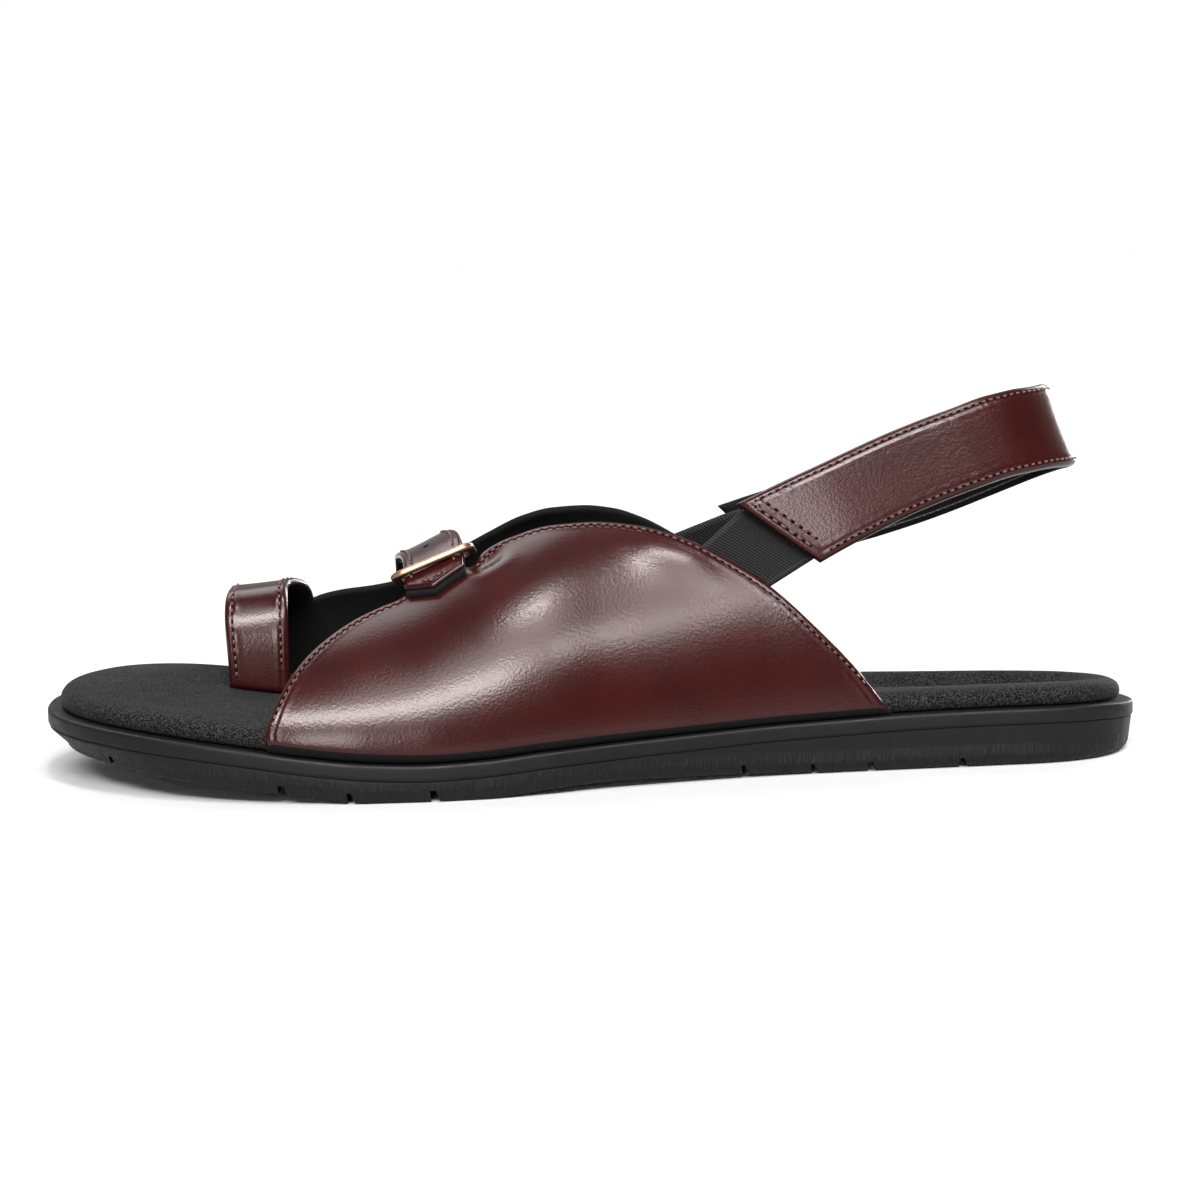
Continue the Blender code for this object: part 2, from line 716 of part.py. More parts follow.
def sling_frame(at):
    """Centre, direction of half its width, and outward normal of the heel strap at a distance along it."""
    line, run = sling_line()
    values = [float(smooth(run, line[:, k], at)) for k in range(5)]
    before = [float(smooth(run, line[:, k], max(at - 0.5, 0.0))) for k in range(3)]
    after = [float(smooth(run, line[:, k], min(at + 0.5, run[-1]))) for k in range(3)]
    along = np.array(after) - np.array(before)
    along /= np.linalg.norm(along)
    lean = math.radians(values[3])
    wide = np.array([-math.sin(lean), 0.0, math.cos(lean)])
    outward = np.cross(along, wide)
    outward /= np.linalg.norm(outward)
    tilt = math.radians(SLING_TILT) * abs(along[0])
    half = (wide * math.cos(tilt) - outward * math.sin(tilt)) * values[4] / 2
    return np.array(values[:3]), half, outward * math.cos(tilt) + wide * math.sin(tilt)


def make_heel_strap(finish, columns=56, rows=4):
    """The lined band around the heel, its front ends cut on a slant."""
    total = sling_line()[1][-1]

    def place(i, j, outer):
        up = j / rows * 2.0 - 1.0
        start = SLING_CUT / 2 * (1.0 - up)
        at = start + (total - 2 * start) * i / columns
        centre, half, outward = sling_frame(at)
        skin = SLING_WALL / 2 if outer else -SLING_WALL / 2
        return centre + half * up + outward * skin

    cells = {(i, j) for i in range(columns) for j in range(rows)}
    return shell("heel_strap", place, cells, finish)


def panel_rear_line(side, share):
    """A point of the last behind a panel's rear edge, from the upper end (0) to the lower end (1)."""
    table = LATERAL_EDGE if side < 0 else MEDIAL_EDGE
    edge_x = column(EDGE_COLUMNS, table, "x")
    edge_z = column(EDGE_COLUMNS, table, "z")
    x = ELASTIC_START["lateral" if side < 0 else "medial"] + share * ELASTIC_SPAN
    z = float(smooth(edge_x, edge_z, x))
    a = around_at_height(x, z, side)
    return x, a


def make_elastic(name, side, finish, columns=12, rows=6, tuck_columns=3):
    """A short ribbed band from behind a panel's rear edge to behind the heel strap's front end."""
    total = sling_line()[1][-1]

    def lines(share):
        x, a = panel_rear_line(side, share)
        depth = -(GAP + ELASTIC_WALL / 2)
        edge = wall_point(x, a, depth)
        up = 1.0 - 2.0 * share
        behind = []
        for tuck in (-GAP, ELASTIC_TUCK):
            at = SLING_CUT / 2 * (1.0 - up) + tuck
            centre, half, outward = sling_frame(at if side < 0 else total - at)
            inside = SLING_WALL / 2 + 2 * GAP + ELASTIC_WALL / 2
            behind.append(centre + half * up * ELASTIC_SHARE - outward * inside)
        ahead = edge - behind[0]
        ahead /= np.linalg.norm(ahead)
        tuck_x = x + ahead[0] * ELASTIC_TUCK
        tuck_a = around_at_height(tuck_x, edge[2] + ahead[2] * ELASTIC_TUCK, side)
        return [wall_point(tuck_x, tuck_a, depth), edge] + behind

    def middle(i, line):
        splits = (0, tuck_columns, columns - tuck_columns, columns)
        part = 0 if i <= splits[1] else 1 if i <= splits[2] else 2
        share = (i - splits[part]) / (splits[part + 1] - splits[part])
        return line[part] + (line[part + 1] - line[part]) * share

    def place(i, j, outer):
        i0, i1 = max(i - 1, 0), min(i + 1, columns)
        j0, j1 = max(j - 1, 0), min(j + 1, rows)
        normal = np.cross(sheet[i1, j] - sheet[i0, j], sheet[i, j1] - sheet[i, j0])
        normal /= np.linalg.norm(normal)
        if normal[1] * side < 0:
            normal = -normal
        return sheet[i, j] + normal * ELASTIC_WALL / 2 * (1 if outer else -1)

    rays = [lines(j / rows) for j in range(rows + 1)]
    sheet = {(i, j): middle(i, rays[j]) for i in range(columns + 1) for j in range(rows + 1)}

    cells = {(i, j) for i in range(columns) for j in range(rows)}
    return shell(name, place, cells, finish)


def main():
    for item in list(bpy.data.objects):
        bpy.data.objects.remove(item, do_unlink=True)
    rubber = material("sole_rubber", (0.018, 0.018, 0.019), 0.55)
    pad = material("footbed_nubuck", (0.022, 0.022, 0.023), 0.85)
    leather = material("maroon_leather", (0.115, 0.028, 0.026), 0.38)
    metal = material("rose_gold", (0.72, 0.42, 0.28), 0.25, 1.0)
    webbing = material("black_webbing", (0.016, 0.016, 0.017), 0.9)
    make_outsole(rubber)
    make_footbed(pad)
    make_upper(leather)
    make_buckle(metal)
    make_elastic("elastic_lateral", -1, webbing)
    make_elastic("elastic_medial", 1, webbing)
    make_heel_strap(leather)


main()
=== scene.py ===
"""The looks of a left men's chappal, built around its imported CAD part.

Shapes are in millimetres until a mesh is made; materials and the studio are in metres.
Toe at -X, heel at +X, outer (lateral) side at -Y, inner (medial) side at +Y, floor at Z 0.

Each leather piece is a sheet: a grid of places on the last with an inner and an outer skin,
whose edges roll over. Stitches and holes are laid on those skins, the elastics' ribs are a wave
in their own sheets, and the tread's grooves are cut out of the sole.
"""

import math

import bmesh
import bpy
import numpy as np
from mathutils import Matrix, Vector
from mathutils.bvhtree import BVHTree
from mathutils.kdtree import KDTree


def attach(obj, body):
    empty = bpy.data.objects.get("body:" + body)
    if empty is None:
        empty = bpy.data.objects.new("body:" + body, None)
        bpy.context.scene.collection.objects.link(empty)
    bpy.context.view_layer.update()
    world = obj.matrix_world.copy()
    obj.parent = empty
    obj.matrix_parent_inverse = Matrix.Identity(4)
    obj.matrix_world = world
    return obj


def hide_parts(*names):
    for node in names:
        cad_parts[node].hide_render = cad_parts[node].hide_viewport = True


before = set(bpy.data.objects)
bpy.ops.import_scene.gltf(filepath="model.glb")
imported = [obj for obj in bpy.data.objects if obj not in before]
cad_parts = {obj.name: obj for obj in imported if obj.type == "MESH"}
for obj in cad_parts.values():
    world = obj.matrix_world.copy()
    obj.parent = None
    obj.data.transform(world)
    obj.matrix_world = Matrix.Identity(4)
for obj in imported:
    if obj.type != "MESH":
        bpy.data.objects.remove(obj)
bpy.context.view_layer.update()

MM = 0.001

# Sizes and tables of the part's own source
LENGTH = 288
GAP = 0.3
WALL = 2.2
RIM_WIDTH = 3.5
TOE_ROUND = 46
HEEL_ROUND = 37
END_FULLNESS = 2.4
SOLE_COLUMNS = ("x", "lateral", "medial", "rim", "under", "foot", "tuck", "drop")
SOLE_TABLE = (
    (-144, -27, 51, 17.6, 7.8, 1.2, 3.6, 0),
    (-128, -33, 51.4, 16.8, 7, 1.2, 2.4, 0),
    (-110, -40, 51.5, 15.5, 5.3, 1.2, 0.8, 0),
    (-92, -46, 51.5, 13.6, 3.5, 1.2, 0, 0),
    (-74, -49.9, 50.8, 11.3, 1.7, 1, 0, 0),
    (-60, -51.2, 50, 9.9, 0, 0.8, 0, 0),
    (-46, -51.4, 48.8, 9.3, 0, 0.8, 0, 0),
    (-32, -50.5, 46.9, 9.7, 0, 0.8, 0, 0),
    (-16, -48, 44, 10.9, 1.3, 1.2, 0, 0),
    (0, -43.5, 40.5, 11.6, 1.8, 1.9, 0, 0.2),
    (22, -38.5, 37, 12.5, 1.4, 2.3, 0, 0.8),
    (45, -34, 35, 13.4, 0.5, 2.6, 0, 1.6),
    (60, -32.4, 34.3, 13.9, 0, 2.7, 0, 2.2),
    (78, -31.4, 33.7, 14.6, 0, 2.8, 0, 3),
    (105, -30, 33.2, 14.9, 0, 2.8, 0, 3.8),
    (128, -29, 32.8, 14.8, 0, 2.8, 0, 4.1),
    (144, -28, 32.2, 14.3, 0.4, 2.6, 0, 4.1),
)
SHOULDER_SPAN = 6.5
DRAWN_TIP = 1
DRAWN_PIVOT = (-50, 13)
DRAWN_RISE = 0.45


def stood_level(rows, height=1):
    """The same rows with the drawn shoe set level. height is the column that holds z."""
    tip = math.radians(DRAWN_TIP)
    level = []
    for row in rows:
        x, z = row[0], row[height]
        moved = [x + tip * (z - DRAWN_PIVOT[1]), *row[1:]]
        moved[height] = z - tip * (x - DRAWN_PIVOT[0]) + DRAWN_RISE
        level.append(tuple(moved))
    return tuple(level)


LAST_COLUMNS = ("x", "crest_y", "crest_z", "full_lateral", "full_medial")
LAST_TABLE = stood_level((
    (-103, 28, 41.2, 2.1, 2.3),
    (-87, 27, 42.8, 2.1, 2.3),
    (-69, 22, 46.4, 2.1, 2.3),
    (-49, 17, 52.2, 2.05, 2.3),
    (-37, 15, 58.2, 2, 2.25),
    (-29, 14, 61.4, 2, 2.25),
    (-9, 13, 67, 1.95, 2.2),
    (11, 12, 69.5, 1.9, 2.2),
    (31, 10, 71.5, 1.9, 2.2),
    (51, 8, 73, 1.9, 2.2),
    (81, 6, 74.5, 1.9, 2.2),
), 2)
# Upper edges of the two panels: x and z
LATERAL_EDGE = stood_level((
    (-84.5, 17), (-83.1, 21.2), (-80.7, 26.4), (-76, 32.8), (-69, 38.4),
    (-62.2, 42.2), (-56.4, 44.6), (-50.4, 47), (-48.9, 48.2), (-47.3, 50.8),
    (-45.5, 52.6), (-41.9, 54.5), (-37.4, 56.5), (-35.9, 56.2), (-34.5, 54.9),
    (-32.9, 55.4), (-29.9, 57.9), (-22.1, 61.3), (-11.7, 64.1), (-1, 64.9),
    (8.1, 64.2), (18.9, 61.9), (25.6, 59.5), (32.4, 56.1), (42.1, 50),
    (54.1, 39.2), (64, 29.1), (69.4, 22.2),
))
LATERAL_FOOT = (-84.2, 74.1)
MEDIAL_EDGE = stood_level((
    (-80.9, 35), (-75, 39.6), (-66.5, 42), (-59.2, 43), (-53.1, 44.2),
    (-43.9, 48.6), (-36.9, 52.6), (-31.9, 55.5), (-26.5, 58.7), (-18.1, 63.2),
    (-9.9, 65.6), (-1.5, 66.2), (6.7, 65.3), (15.1, 62.4), (22.7, 58.3),
    (32.1, 52.2), (42.1, 44.8), (53.1, 35.2), (61.6, 27.2), (66.6, 22),
))
MEDIAL_FOOT = (-97.9, 71.6)
LOOP_FRONT, LOOP_REAR = -96.5, MEDIAL_EDGE[0][0]
LOOP_FOOT_Y = 10
LOOP_CLIMB = 0.4
STRAP_FRONT, STRAP_REAR = -51.5, -36.5
STRAP_LEAN = 3.2
STRAP_END = -0.375
STRAP_POINT = 0.04
STRAP_LIFT = 1.8
STRAP_TIP_WALL = 3.2
STRAP_LIFT_START = 0.06
STRAP_LIFT_SPAN = 0.30
BUCKLE_WIDTH = 22.5
BUCKLE_NEAR = -0.325
BUCKLE_FAR = -0.205
BUCKLE_ROD = 1
BUCKLE_CORNER = 2.6
SLING_TABLE = stood_level((
    (41.1, -17.5, 59, 30, 24.4),
    (51.1, -18.3, 64.6, 29, 23.2),
    (63.1, -18.8, 70.7, 27, 22.2),
    (79.8, -18.6, 78.4, 23.5, 21.8),
    (93.1, -17.8, 83.3, 20.5, 21.8),
    (104.9, -15, 86.8, 18.5, 22.4),
    (115.1, -9.6, 88.2, 18, 23),
    (121.6, -1.8, 88.3, 18, 23.4),
    (123.4, 5.6, 87.6, 18, 23.4),
    (121.6, 13, 85.8, 18, 23.2),
    (115.1, 20.6, 81.8, 18, 23),
    (104.9, 26, 76.4, 18.5, 22.6),
    (93.1, 28.4, 71.2, 19, 22.2),
    (79.8, 29.2, 66.6, 19.5, 22),
    (63.1, 29, 62, 20, 22),
    (51.1, 28.6, 58.8, 20, 22),
    (39.1, 28, 55, 20, 22),
), 2)
SLING_TILT = 14
SLING_WALL = 3
SLING_CUT = 11
ELASTIC_WALL = 1.4
ELASTIC_SHARE = 0.84
ELASTIC_START = {-1: 25.9, 1: 23.3}  # by side: -1 is lateral, 1 is medial
ELASTIC_SPAN = 17.3
ELASTIC_TUCK = 5

# Sizes of what this script adds
ROLL_STEPS = (0, 0.06, 0.24, 0.55, 1)  # grid lines across a rolled edge, as shares of its radius
SEAM_IN = 2.2  # stitch rows run this far in from an edge,
TIP_SEAM = SEAM_IN - 0.3  # this far at the buckle strap's tip,
SLING_SEAM = 1.8  # and this far on the heel strap
STITCH_PITCH = 2.1
STITCH_LENGTH = 1.35
STITCH_RADIUS = 0.27
STITCH_SIDES = 6
# Rings of a stitch: place, thickness and lift, as shares of its half length and its radius
STITCH_RINGS = (
    (-1, 0.45, -0.5), (-0.62, 0.95, 0.45), (0, 1, 0.75), (0.62, 0.95, 0.45), (1, 0.45, -0.5),
)
# Needle holes are flat dark discs without reflection: painted shade for the hollow of each hole
HOLE_RADIUS = 0.36
HOLE_OFF = 0.58  # from the stitch's middle, as a share of its length
HOLE_LIFT = 0.05
# Numbers that materials read at each point: how far it is from a sewn edge, and how high over the tread
SEAM_TAG = "seam"
TREAD_TAG = "above_tread"


# Curves and forms of the part's own source, for whole arrays of places

SOLE = dict(zip(SOLE_COLUMNS, np.array(SOLE_TABLE, dtype=float).T))
LAST = dict(zip(LAST_COLUMNS, np.array(LAST_TABLE, dtype=float).T))


def smooth(keys, values, at):
    """A smooth curve through the rows of a table that never swings past them."""
    keys = np.asarray(keys, dtype=float)
    values = np.asarray(values, dtype=float)
    step = np.diff(keys)
    rise = np.diff(values) / step
    slope = np.zeros_like(values)
    slope[0] = rise[0]
    slope[-1] = rise[-1]
    for i in range(1, len(values) - 1):
        if rise[i - 1] * rise[i] > 0:
            slope[i] = (step[i - 1] + step[i]) / (step[i - 1] / rise[i] + step[i] / rise[i - 1])
    at = np.clip(at, keys[0], keys[-1])
    i = np.clip(np.searchsorted(keys, at, side="right") - 1, 0, len(step) - 1)
    t = (at - keys[i]) / step[i]
    rest = 1 - t
    return (
        values[i] * (1 + 2 * t) * rest * rest
        + slope[i] * step[i] * t * rest * rest
        + values[i + 1] * t * t * (3 - 2 * t)
        - slope[i + 1] * step[i] * t * t * rest
    )


def ease(value, start, end):
    """0 before start, 1 after end, and smooth between them."""
    t = np.clip((value - start) / (end - start), 0, 1)
    return t * t * (3 - 2 * t)


def unit(vectors):
    return vectors / np.maximum(np.linalg.norm(vectors, axis=-1, keepdims=True), 1e-9)


def run_of(points):
    """How far along a line each of its points lies."""
    steps = np.linalg.norm(np.diff(points, axis=0), axis=1)
    return np.concatenate([[0], np.cumsum(steps)])


def along_line(points, run, at):
    return np.stack([np.interp(at, run, points[:, k]) for k in range(points.shape[1])], axis=1)


def sole_at(name, x):
    return smooth(SOLE["x"], SOLE[name], x)


def last_at(name, x):
    return smooth(LAST["x"], LAST[name], x)


def outline_edges(x):
    """The lateral and medial edge of the sole's plan at x."""
    share = np.ones_like(x)
    for distance, reach in ((x + LENGTH / 2, TOE_ROUND), (LENGTH / 2 - x, HEEL_ROUND)):
        inner = np.clip((reach - distance) / reach, 0, 1)
        share = share * (1 - inner**END_FULLNESS) ** (1 / END_FULLNESS)
    lateral = sole_at("lateral", x)
    medial = sole_at("medial", x)
    middle = (lateral + medial) / 2
    half = (medial - lateral) / 2 * share
    return middle - half, middle + half


def outline(per_side):
    """The sole's plan with evenly spaced points: toe tip, lateral side, heel end, medial side."""
    turn = np.linspace(0, math.pi, 2000)
    x = -LENGTH / 2 * np.cos(turn)
    sides = []
    for y in outline_edges(x):
        side = np.stack([x, y], axis=1)
        run = run_of(side)
        sides.append(along_line(side, run, np.linspace(0, run[-1], per_side + 1)))
    lateral, medial = sides
    return np.concatenate([lateral, medial[-2:0:-1]])


def inset(points, distance):
    """The outline moved inwards, square to itself at each point."""
    along = unit(np.roll(points, -1, axis=0) - np.roll(points, 1, axis=0))
    inward = np.stack([-along[:, 1], along[:, 0]], axis=1)
    return points + inward * np.reshape(distance, (-1, 1))


def rim_height(x, y):
    lateral = sole_at("lateral", x)
    across = (y - lateral) / (sole_at("medial", x) - lateral)
    return sole_at("rim", x) - sole_at("drop", x) * np.clip(across, 0, 1)


def dome(x, y, centre, reach):
    far = np.hypot((x - centre[0]) / reach[0], (y - centre[1]) / reach[1])
    return (1 - np.minimum(far, 1) ** 2) ** 2


def last_point(x, a):
    """A point of the last: a is -1 at the lateral foot, 0 at the crest and 1 at the medial foot."""
    lateral, medial = outline_edges(x)
    outer = a < 0
    foot_y = np.where(outer, lateral + RIM_WIDTH - GAP, medial - RIM_WIDTH + GAP)
    crest_y = last_at("crest_y", x)
    base_z = rim_height(x, foot_y) + GAP
    rise = last_at("crest_z", x) - base_z
    power = 2 / np.where(outer, last_at("full_lateral", x), last_at("full_medial", x))
    turn = (1 - np.minimum(np.abs(a), 1)) * math.pi / 2
    y = crest_y + (foot_y - crest_y) * np.cos(turn) ** power
    return np.stack([x, y, base_z + rise * np.sin(turn) ** power], axis=-1)


def surface_normal(point_at, u, v, du=0.4, dv=0.004):
    along = point_at(u + du, v) - point_at(u - du, v)
    around = point_at(u, np.minimum(v + dv, 1)) - point_at(u, np.maximum(v - dv, -1))
    return unit(np.cross(along, around))


def wall_point(x, a, distance):
    """A point of the upper's wall, this far out from the last."""
    x, a = np.broadcast_arrays(np.asarray(x, dtype=float), np.asarray(a, dtype=float))
    return last_point(x, a) + surface_normal(last_point, x, a) * np.asarray(distance)[..., None]


def around_at_height(x, z, side):
    """The place around the section where the wall's outer face has this height."""
    low = np.zeros_like(x)
    high = np.ones_like(x)
    for _ in range(26):
        middle = (low + high) / 2
        above = wall_point(x, side * middle, WALL)[..., 2] > z
        low = np.where(above, middle, low)
        high = np.where(above, high, middle)
    return side * (low + high) / 2


# Meshes


def turn_outwards(mesh):
    form = bmesh.new()
    form.from_mesh(mesh)
    bmesh.ops.recalc_face_normals(form, faces=form.faces)
    form.to_mesh(mesh)
    form.free()


def add_tag(mesh, name, values):
    """Keeps a number for each point of a mesh, for its material."""
    layer = mesh.attributes.new(name, "FLOAT", "POINT")
    layer.data.foreach_set("value", np.asarray(values, dtype=np.float32))


def make_object(name, points, faces, finishes, finish_of=None, closed=True):
    """A smooth object from points in millimetres."""
    mesh = bpy.data.meshes.new(name)
    mesh.from_pydata((np.asarray(points) * MM).tolist(), [], faces)
    if closed:
        turn_outwards(mesh)
    for finish in finishes:
        mesh.materials.append(finish)
    if finish_of is not None:
        mesh.polygons.foreach_set("material_index", finish_of)
    mesh.shade_smooth()
    made = bpy.data.objects.new(name, mesh)
    bpy.context.scene.collection.objects.link(made)
    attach(made, "root")
    return made


def spread(lengths, count, ends=(True, True), roll=WALL / 2, foot=()):
    """Shares along lines of these lengths, close together where an end rolls over.

    foot holds more distances from the start that get a share of their own.
    """
    lengths = np.atleast_1d(lengths)[:, None]
    close = roll * np.array(ROLL_STEPS) / lengths
    start = close if ends[0] else np.zeros_like(lengths)
    if foot:
        start = np.concatenate([start, np.minimum(np.array(foot) / lengths, 0.3)], axis=1)
    finish = 1 - close[:, ::-1] if ends[1] else np.ones_like(lengths)
    even = np.linspace(0, 1, count + 1)[None, 1:-1]
    middle = start[:, -1:] + (finish[:, :1] - start[:, -1:]) * even
    return np.concatenate([start, middle, finish], axis=1)


def nearest_distances(spots, grid):
    """How far each place of a grid lies from the nearest of the given spots."""
    tree = KDTree(len(spots))
    for k, spot in enumerate(spots):
        tree.insert(spot, k)
    tree.balance()
    return np.array([[tree.find(place)[2] for place in line] for line in grid])


def make_sheet(name, low, high, finishes, cells=None, dark=None, roll=WALL / 2, seam=0.4, unsewn=0,
               foot=True):
    """A wall between two grids of points, over the True cells if given, its edges rolled to a round.

    Where dark is True the outer skin wears the inner skin's finish; along the outer panel's foot that is
    painted shade. The first unsewn columns have no stitch row along their far end, and with a foot
    there is none along the near end.
    """
    columns, rows = low.shape[0] - 1, low.shape[1] - 1
    if cells is None:
        cells = np.ones((columns, rows), dtype=bool)
    ring = ((0, 0), (1, 0), (1, 1), (0, 1))
    beside = ((0, -1), (1, 0), (0, 1), (-1, 0))
    padded = np.zeros((columns + 2, rows + 2), dtype=bool)
    padded[1:-1, 1:-1] = cells
    middle = low + (high - low) * seam
    border = []
    sewn = []
    on_border = np.zeros(low.shape[:2], dtype=bool)
    for i, j in np.argwhere(cells):
        for side, (di, dj) in enumerate(beside):
            if not padded[i + 1 + di, j + 1 + dj]:
                a, b = ((i + ring[k % 4][0], j + ring[k % 4][1]) for k in (side, side + 1))
                on_border[a] = True
                on_border[b] = True
                steps = [middle[a] + (middle[b] - middle[a]) * t for t in np.arange(0, 1, 0.25)]
                border += steps
                far_end = min(a[1], b[1]) == rows
                if max(a[1], b[1]) > (0 if foot else -1) and not (far_end and i < unsewn):
                    sewn += steps
    reach = nearest_distances(border, middle)
    reach[on_border] = 0
    from_seam = nearest_distances(sewn, middle)
    bulge = np.sqrt(1 - (1 - np.minimum(reach / roll, 1)) ** 2)[..., None]
    outer = middle + (high - middle) * bulge
    inner = middle + (low - middle) * bulge
    index = {}
    points = []
    edge = []

    def corner(i, j, outside):
        key = (i, j, outside or bool(on_border[i, j]))
        if key not in index:
            index[key] = len(points)
            points.append(outer[i, j] if outside else inner[i, j])
            edge.append(from_seam[i, j])
        return index[key]

    faces = []
    finish_of = []
    for i, j in np.argwhere(cells).tolist():
        faces.append([corner(i + di, j + dj, True) for di, dj in ring])
        faces.append([corner(i + di, j + dj, False) for di, dj in reversed(ring)])
        finish_of += [int(dark is not None and dark[i, j]), 1]
    made = make_object(name, points, faces, finishes, finish_of)
    add_tag(made.data, SEAM_TAG, edge)
    return made, outer


def skin_of(made):
    """The piece's surface, to lay things on."""
    return BVHTree.FromPolygons(
        [vertex.co / MM for vertex in made.data.vertices],
        [tuple(face.vertices) for face in made.data.polygons],
    )


def laid_on(skin, spots):
    """The nearest places on a skin, with the skin's outward normals there."""
    found = [skin.find_nearest(Vector(spot)) for spot in spots]
    return np.array([f[0] for f in found]), np.array([f[1] for f in found])


def seam_line(edge, deeper, distance=SEAM_IN):
    """A line that keeps this distance from an edge, on the side of the deeper points."""
    along = unit(np.gradient(edge, axis=0))
    inward = deeper - edge
    inward = inward - along * (inward * along).sum(axis=1, keepdims=True)
    return edge + unit(inward) * distance


def ring_faces(rings, count, first=0, joined=False):
    """Faces from each ring of points to the next, and with joined from the last to the first."""
    faces = []
    for r in range(rings if joined else rings - 1):
        here = first + r * count
        there = first + (r + 1) % rings * count
        for k in range(count):
            n = (k + 1) % count
            faces.append([here + k, here + n, there + n, there + k])
    return faces


def circle(sides):
    """Cosine and sine of evenly spaced turns."""
    turns = [math.tau * k / sides for k in range(sides)]
    return [(math.cos(turn), math.sin(turn)) for turn in turns]


def add_disc(points, faces, centre, across, ahead, radius, sides):
    faces.append([len(points) + k for k in range(sides)])
    points += [centre + (across * c + ahead * s) * radius for c, s in circle(sides)]


def make_stitches(name, skin, lines, sewing, pitch=STITCH_PITCH, size=1):
    """Rows of stitches laid on a skin, each a short thread between two needle holes.

    sewing is the finish of the thread and that of the holes, flat dark discs of painted shade.
    """
    length = STITCH_LENGTH * size
    radius = STITCH_RADIUS * size
    to_last = (len(STITCH_RINGS) - 1) * STITCH_SIDES
    points = []
    faces = []
    finish_of = []
    for line in lines:
        run = run_of(line)
        count = max(1, int(run[-1] / pitch))
        step = run[-1] / count
        middles = (np.arange(count) + 0.5) * step
        spots, normals = laid_on(skin, along_line(line, run, middles))
        before = along_line(line, run, middles - step / 4)
        after = along_line(line, run, middles + step / 4)
        tangents = unit(after - before)
        tangents = unit(tangents - normals * (tangents * normals).sum(axis=1, keepdims=True))
        across = np.cross(normals, tangents)
        for spot, up, ahead, side in zip(spots, normals, tangents, across):
            first = len(points)
            for place, thick, lift in STITCH_RINGS:
                centre = spot + ahead * place * length / 2 + up * lift * radius
                points += [centre + (side * c + up * s) * radius * thick for c, s in circle(STITCH_SIDES)]
            faces += ring_faces(len(STITCH_RINGS), STITCH_SIDES, first)
            faces.append([first + k for k in range(STITCH_SIDES)][::-1])
            faces.append([first + to_last + k for k in range(STITCH_SIDES)])
            finish_of += [0] * (to_last + 2)
            # the two needle holes, flat dark discs: painted shade for their hollows
            for end in (-1, 1):
                centre = spot + ahead * end * length * HOLE_OFF + up * HOLE_LIFT
                add_disc(points, faces, centre, ahead, side, HOLE_RADIUS * size, STITCH_SIDES)
                finish_of.append(1)
    made = make_object(name, points, faces, sewing, finish_of, closed=False)


# Sole and footbed

SOLE_POINTS = 340  # outline points down each side
FLAT_IN = 9  # the flat middle starts this far in
FOOT_IN = 1.1
FOOT_SLOPE = 0.9
LOW_WALL = (0.2, 0.45, 0.7, 0.9)  # rings between the foot and the table's first row
# Top of the sole's wall: how far in, and the height from the rim
WALL_HIGH = (
    (0.42, -4.6), (0.4, -4.15), (0.62, -4), (0.6, -3.86), (0.14, -3.72),
    (0.02, -3.5), (0, -3), (0, -1.8), (0, -0.8), (0.07, -0.42),
    (0.25, -0.16), (0.55, -0.02), (0.95, 0.04), (1.6, 0), (3, -0.1),
    (4.6, -0.1), (9, -0.1),
)
# Grooves of the tread: x, width, depth, slant and reach
GROOVES = (
    (-122, 2.2, 3, 8, 130),
    (-99, 3, 2.2, 6, 60),
    (-78, 4, 2.6, 6, 130),
    (-62, 2.8, 2.8, 4, 130),
    (-43, 3.6, 3, 0, 130),
    (38, 2.4, 2.8, 8, 130),
    (56, 2.4, 2.8, 8, 130),
    (71, 3.4, 2.6, 8, 130),
    (95, 3.6, 2.6, 8, 130),
    (119, 3, 2.2, 6, 40),
)
GROOVE_LEAN = -1.2
GROOVE_SHARE = 0.65  # the scene's grooves have this share of the solids' width,
GROOVE_FLARE = 0.2  # and are this much wider to each side below the tread
GROOVE_BELOW = 1.5
GROOVE_FLOOR = 0.6
SHARP_ANGLE = 35


def rungs(points, faces, ring, start, height, steps):
    """Closes a ring with rungs from side to side. height gives their inner points' z from x and y."""
    count = len(ring)
    half = count // 2
    rows = [[start]]
    for k in range(1, half):
        a, b = ring[k], ring[count - k]
        row = [start + k]
        for t in np.arange(1, steps) / steps:
            x, y = a[:2] + (b[:2] - a[:2]) * t
            row.append(len(points))
            points.append((x, y, float(height(x, y))))
        rows.append(row + [start + count - k])
    rows.append([start + half])
    for before, after in zip(rows, rows[1:]):
        if len(before) == 1:
            faces += [[before[0], after[m], after[m + 1]] for m in range(steps)]
        elif len(after) == 1:
            faces += [[before[m + 1], before[m], after[0]] for m in range(steps)]
        else:
            faces += [[before[m], after[m], after[m + 1], before[m + 1]] for m in range(steps)]


def capped(rings, low, low_steps, high, high_steps):
    """Points and faces of a closed form: rings from below upwards, with rungs across both ends."""
    count = len(rings[0])
    points = np.concatenate(rings).tolist()
    faces = ring_faces(len(rings), count)
    rungs(points, faces, rings[0], 0, low, low_steps)
    rungs(points, faces, rings[-1], (len(rings) - 1) * count, high, high_steps)
    return points, faces


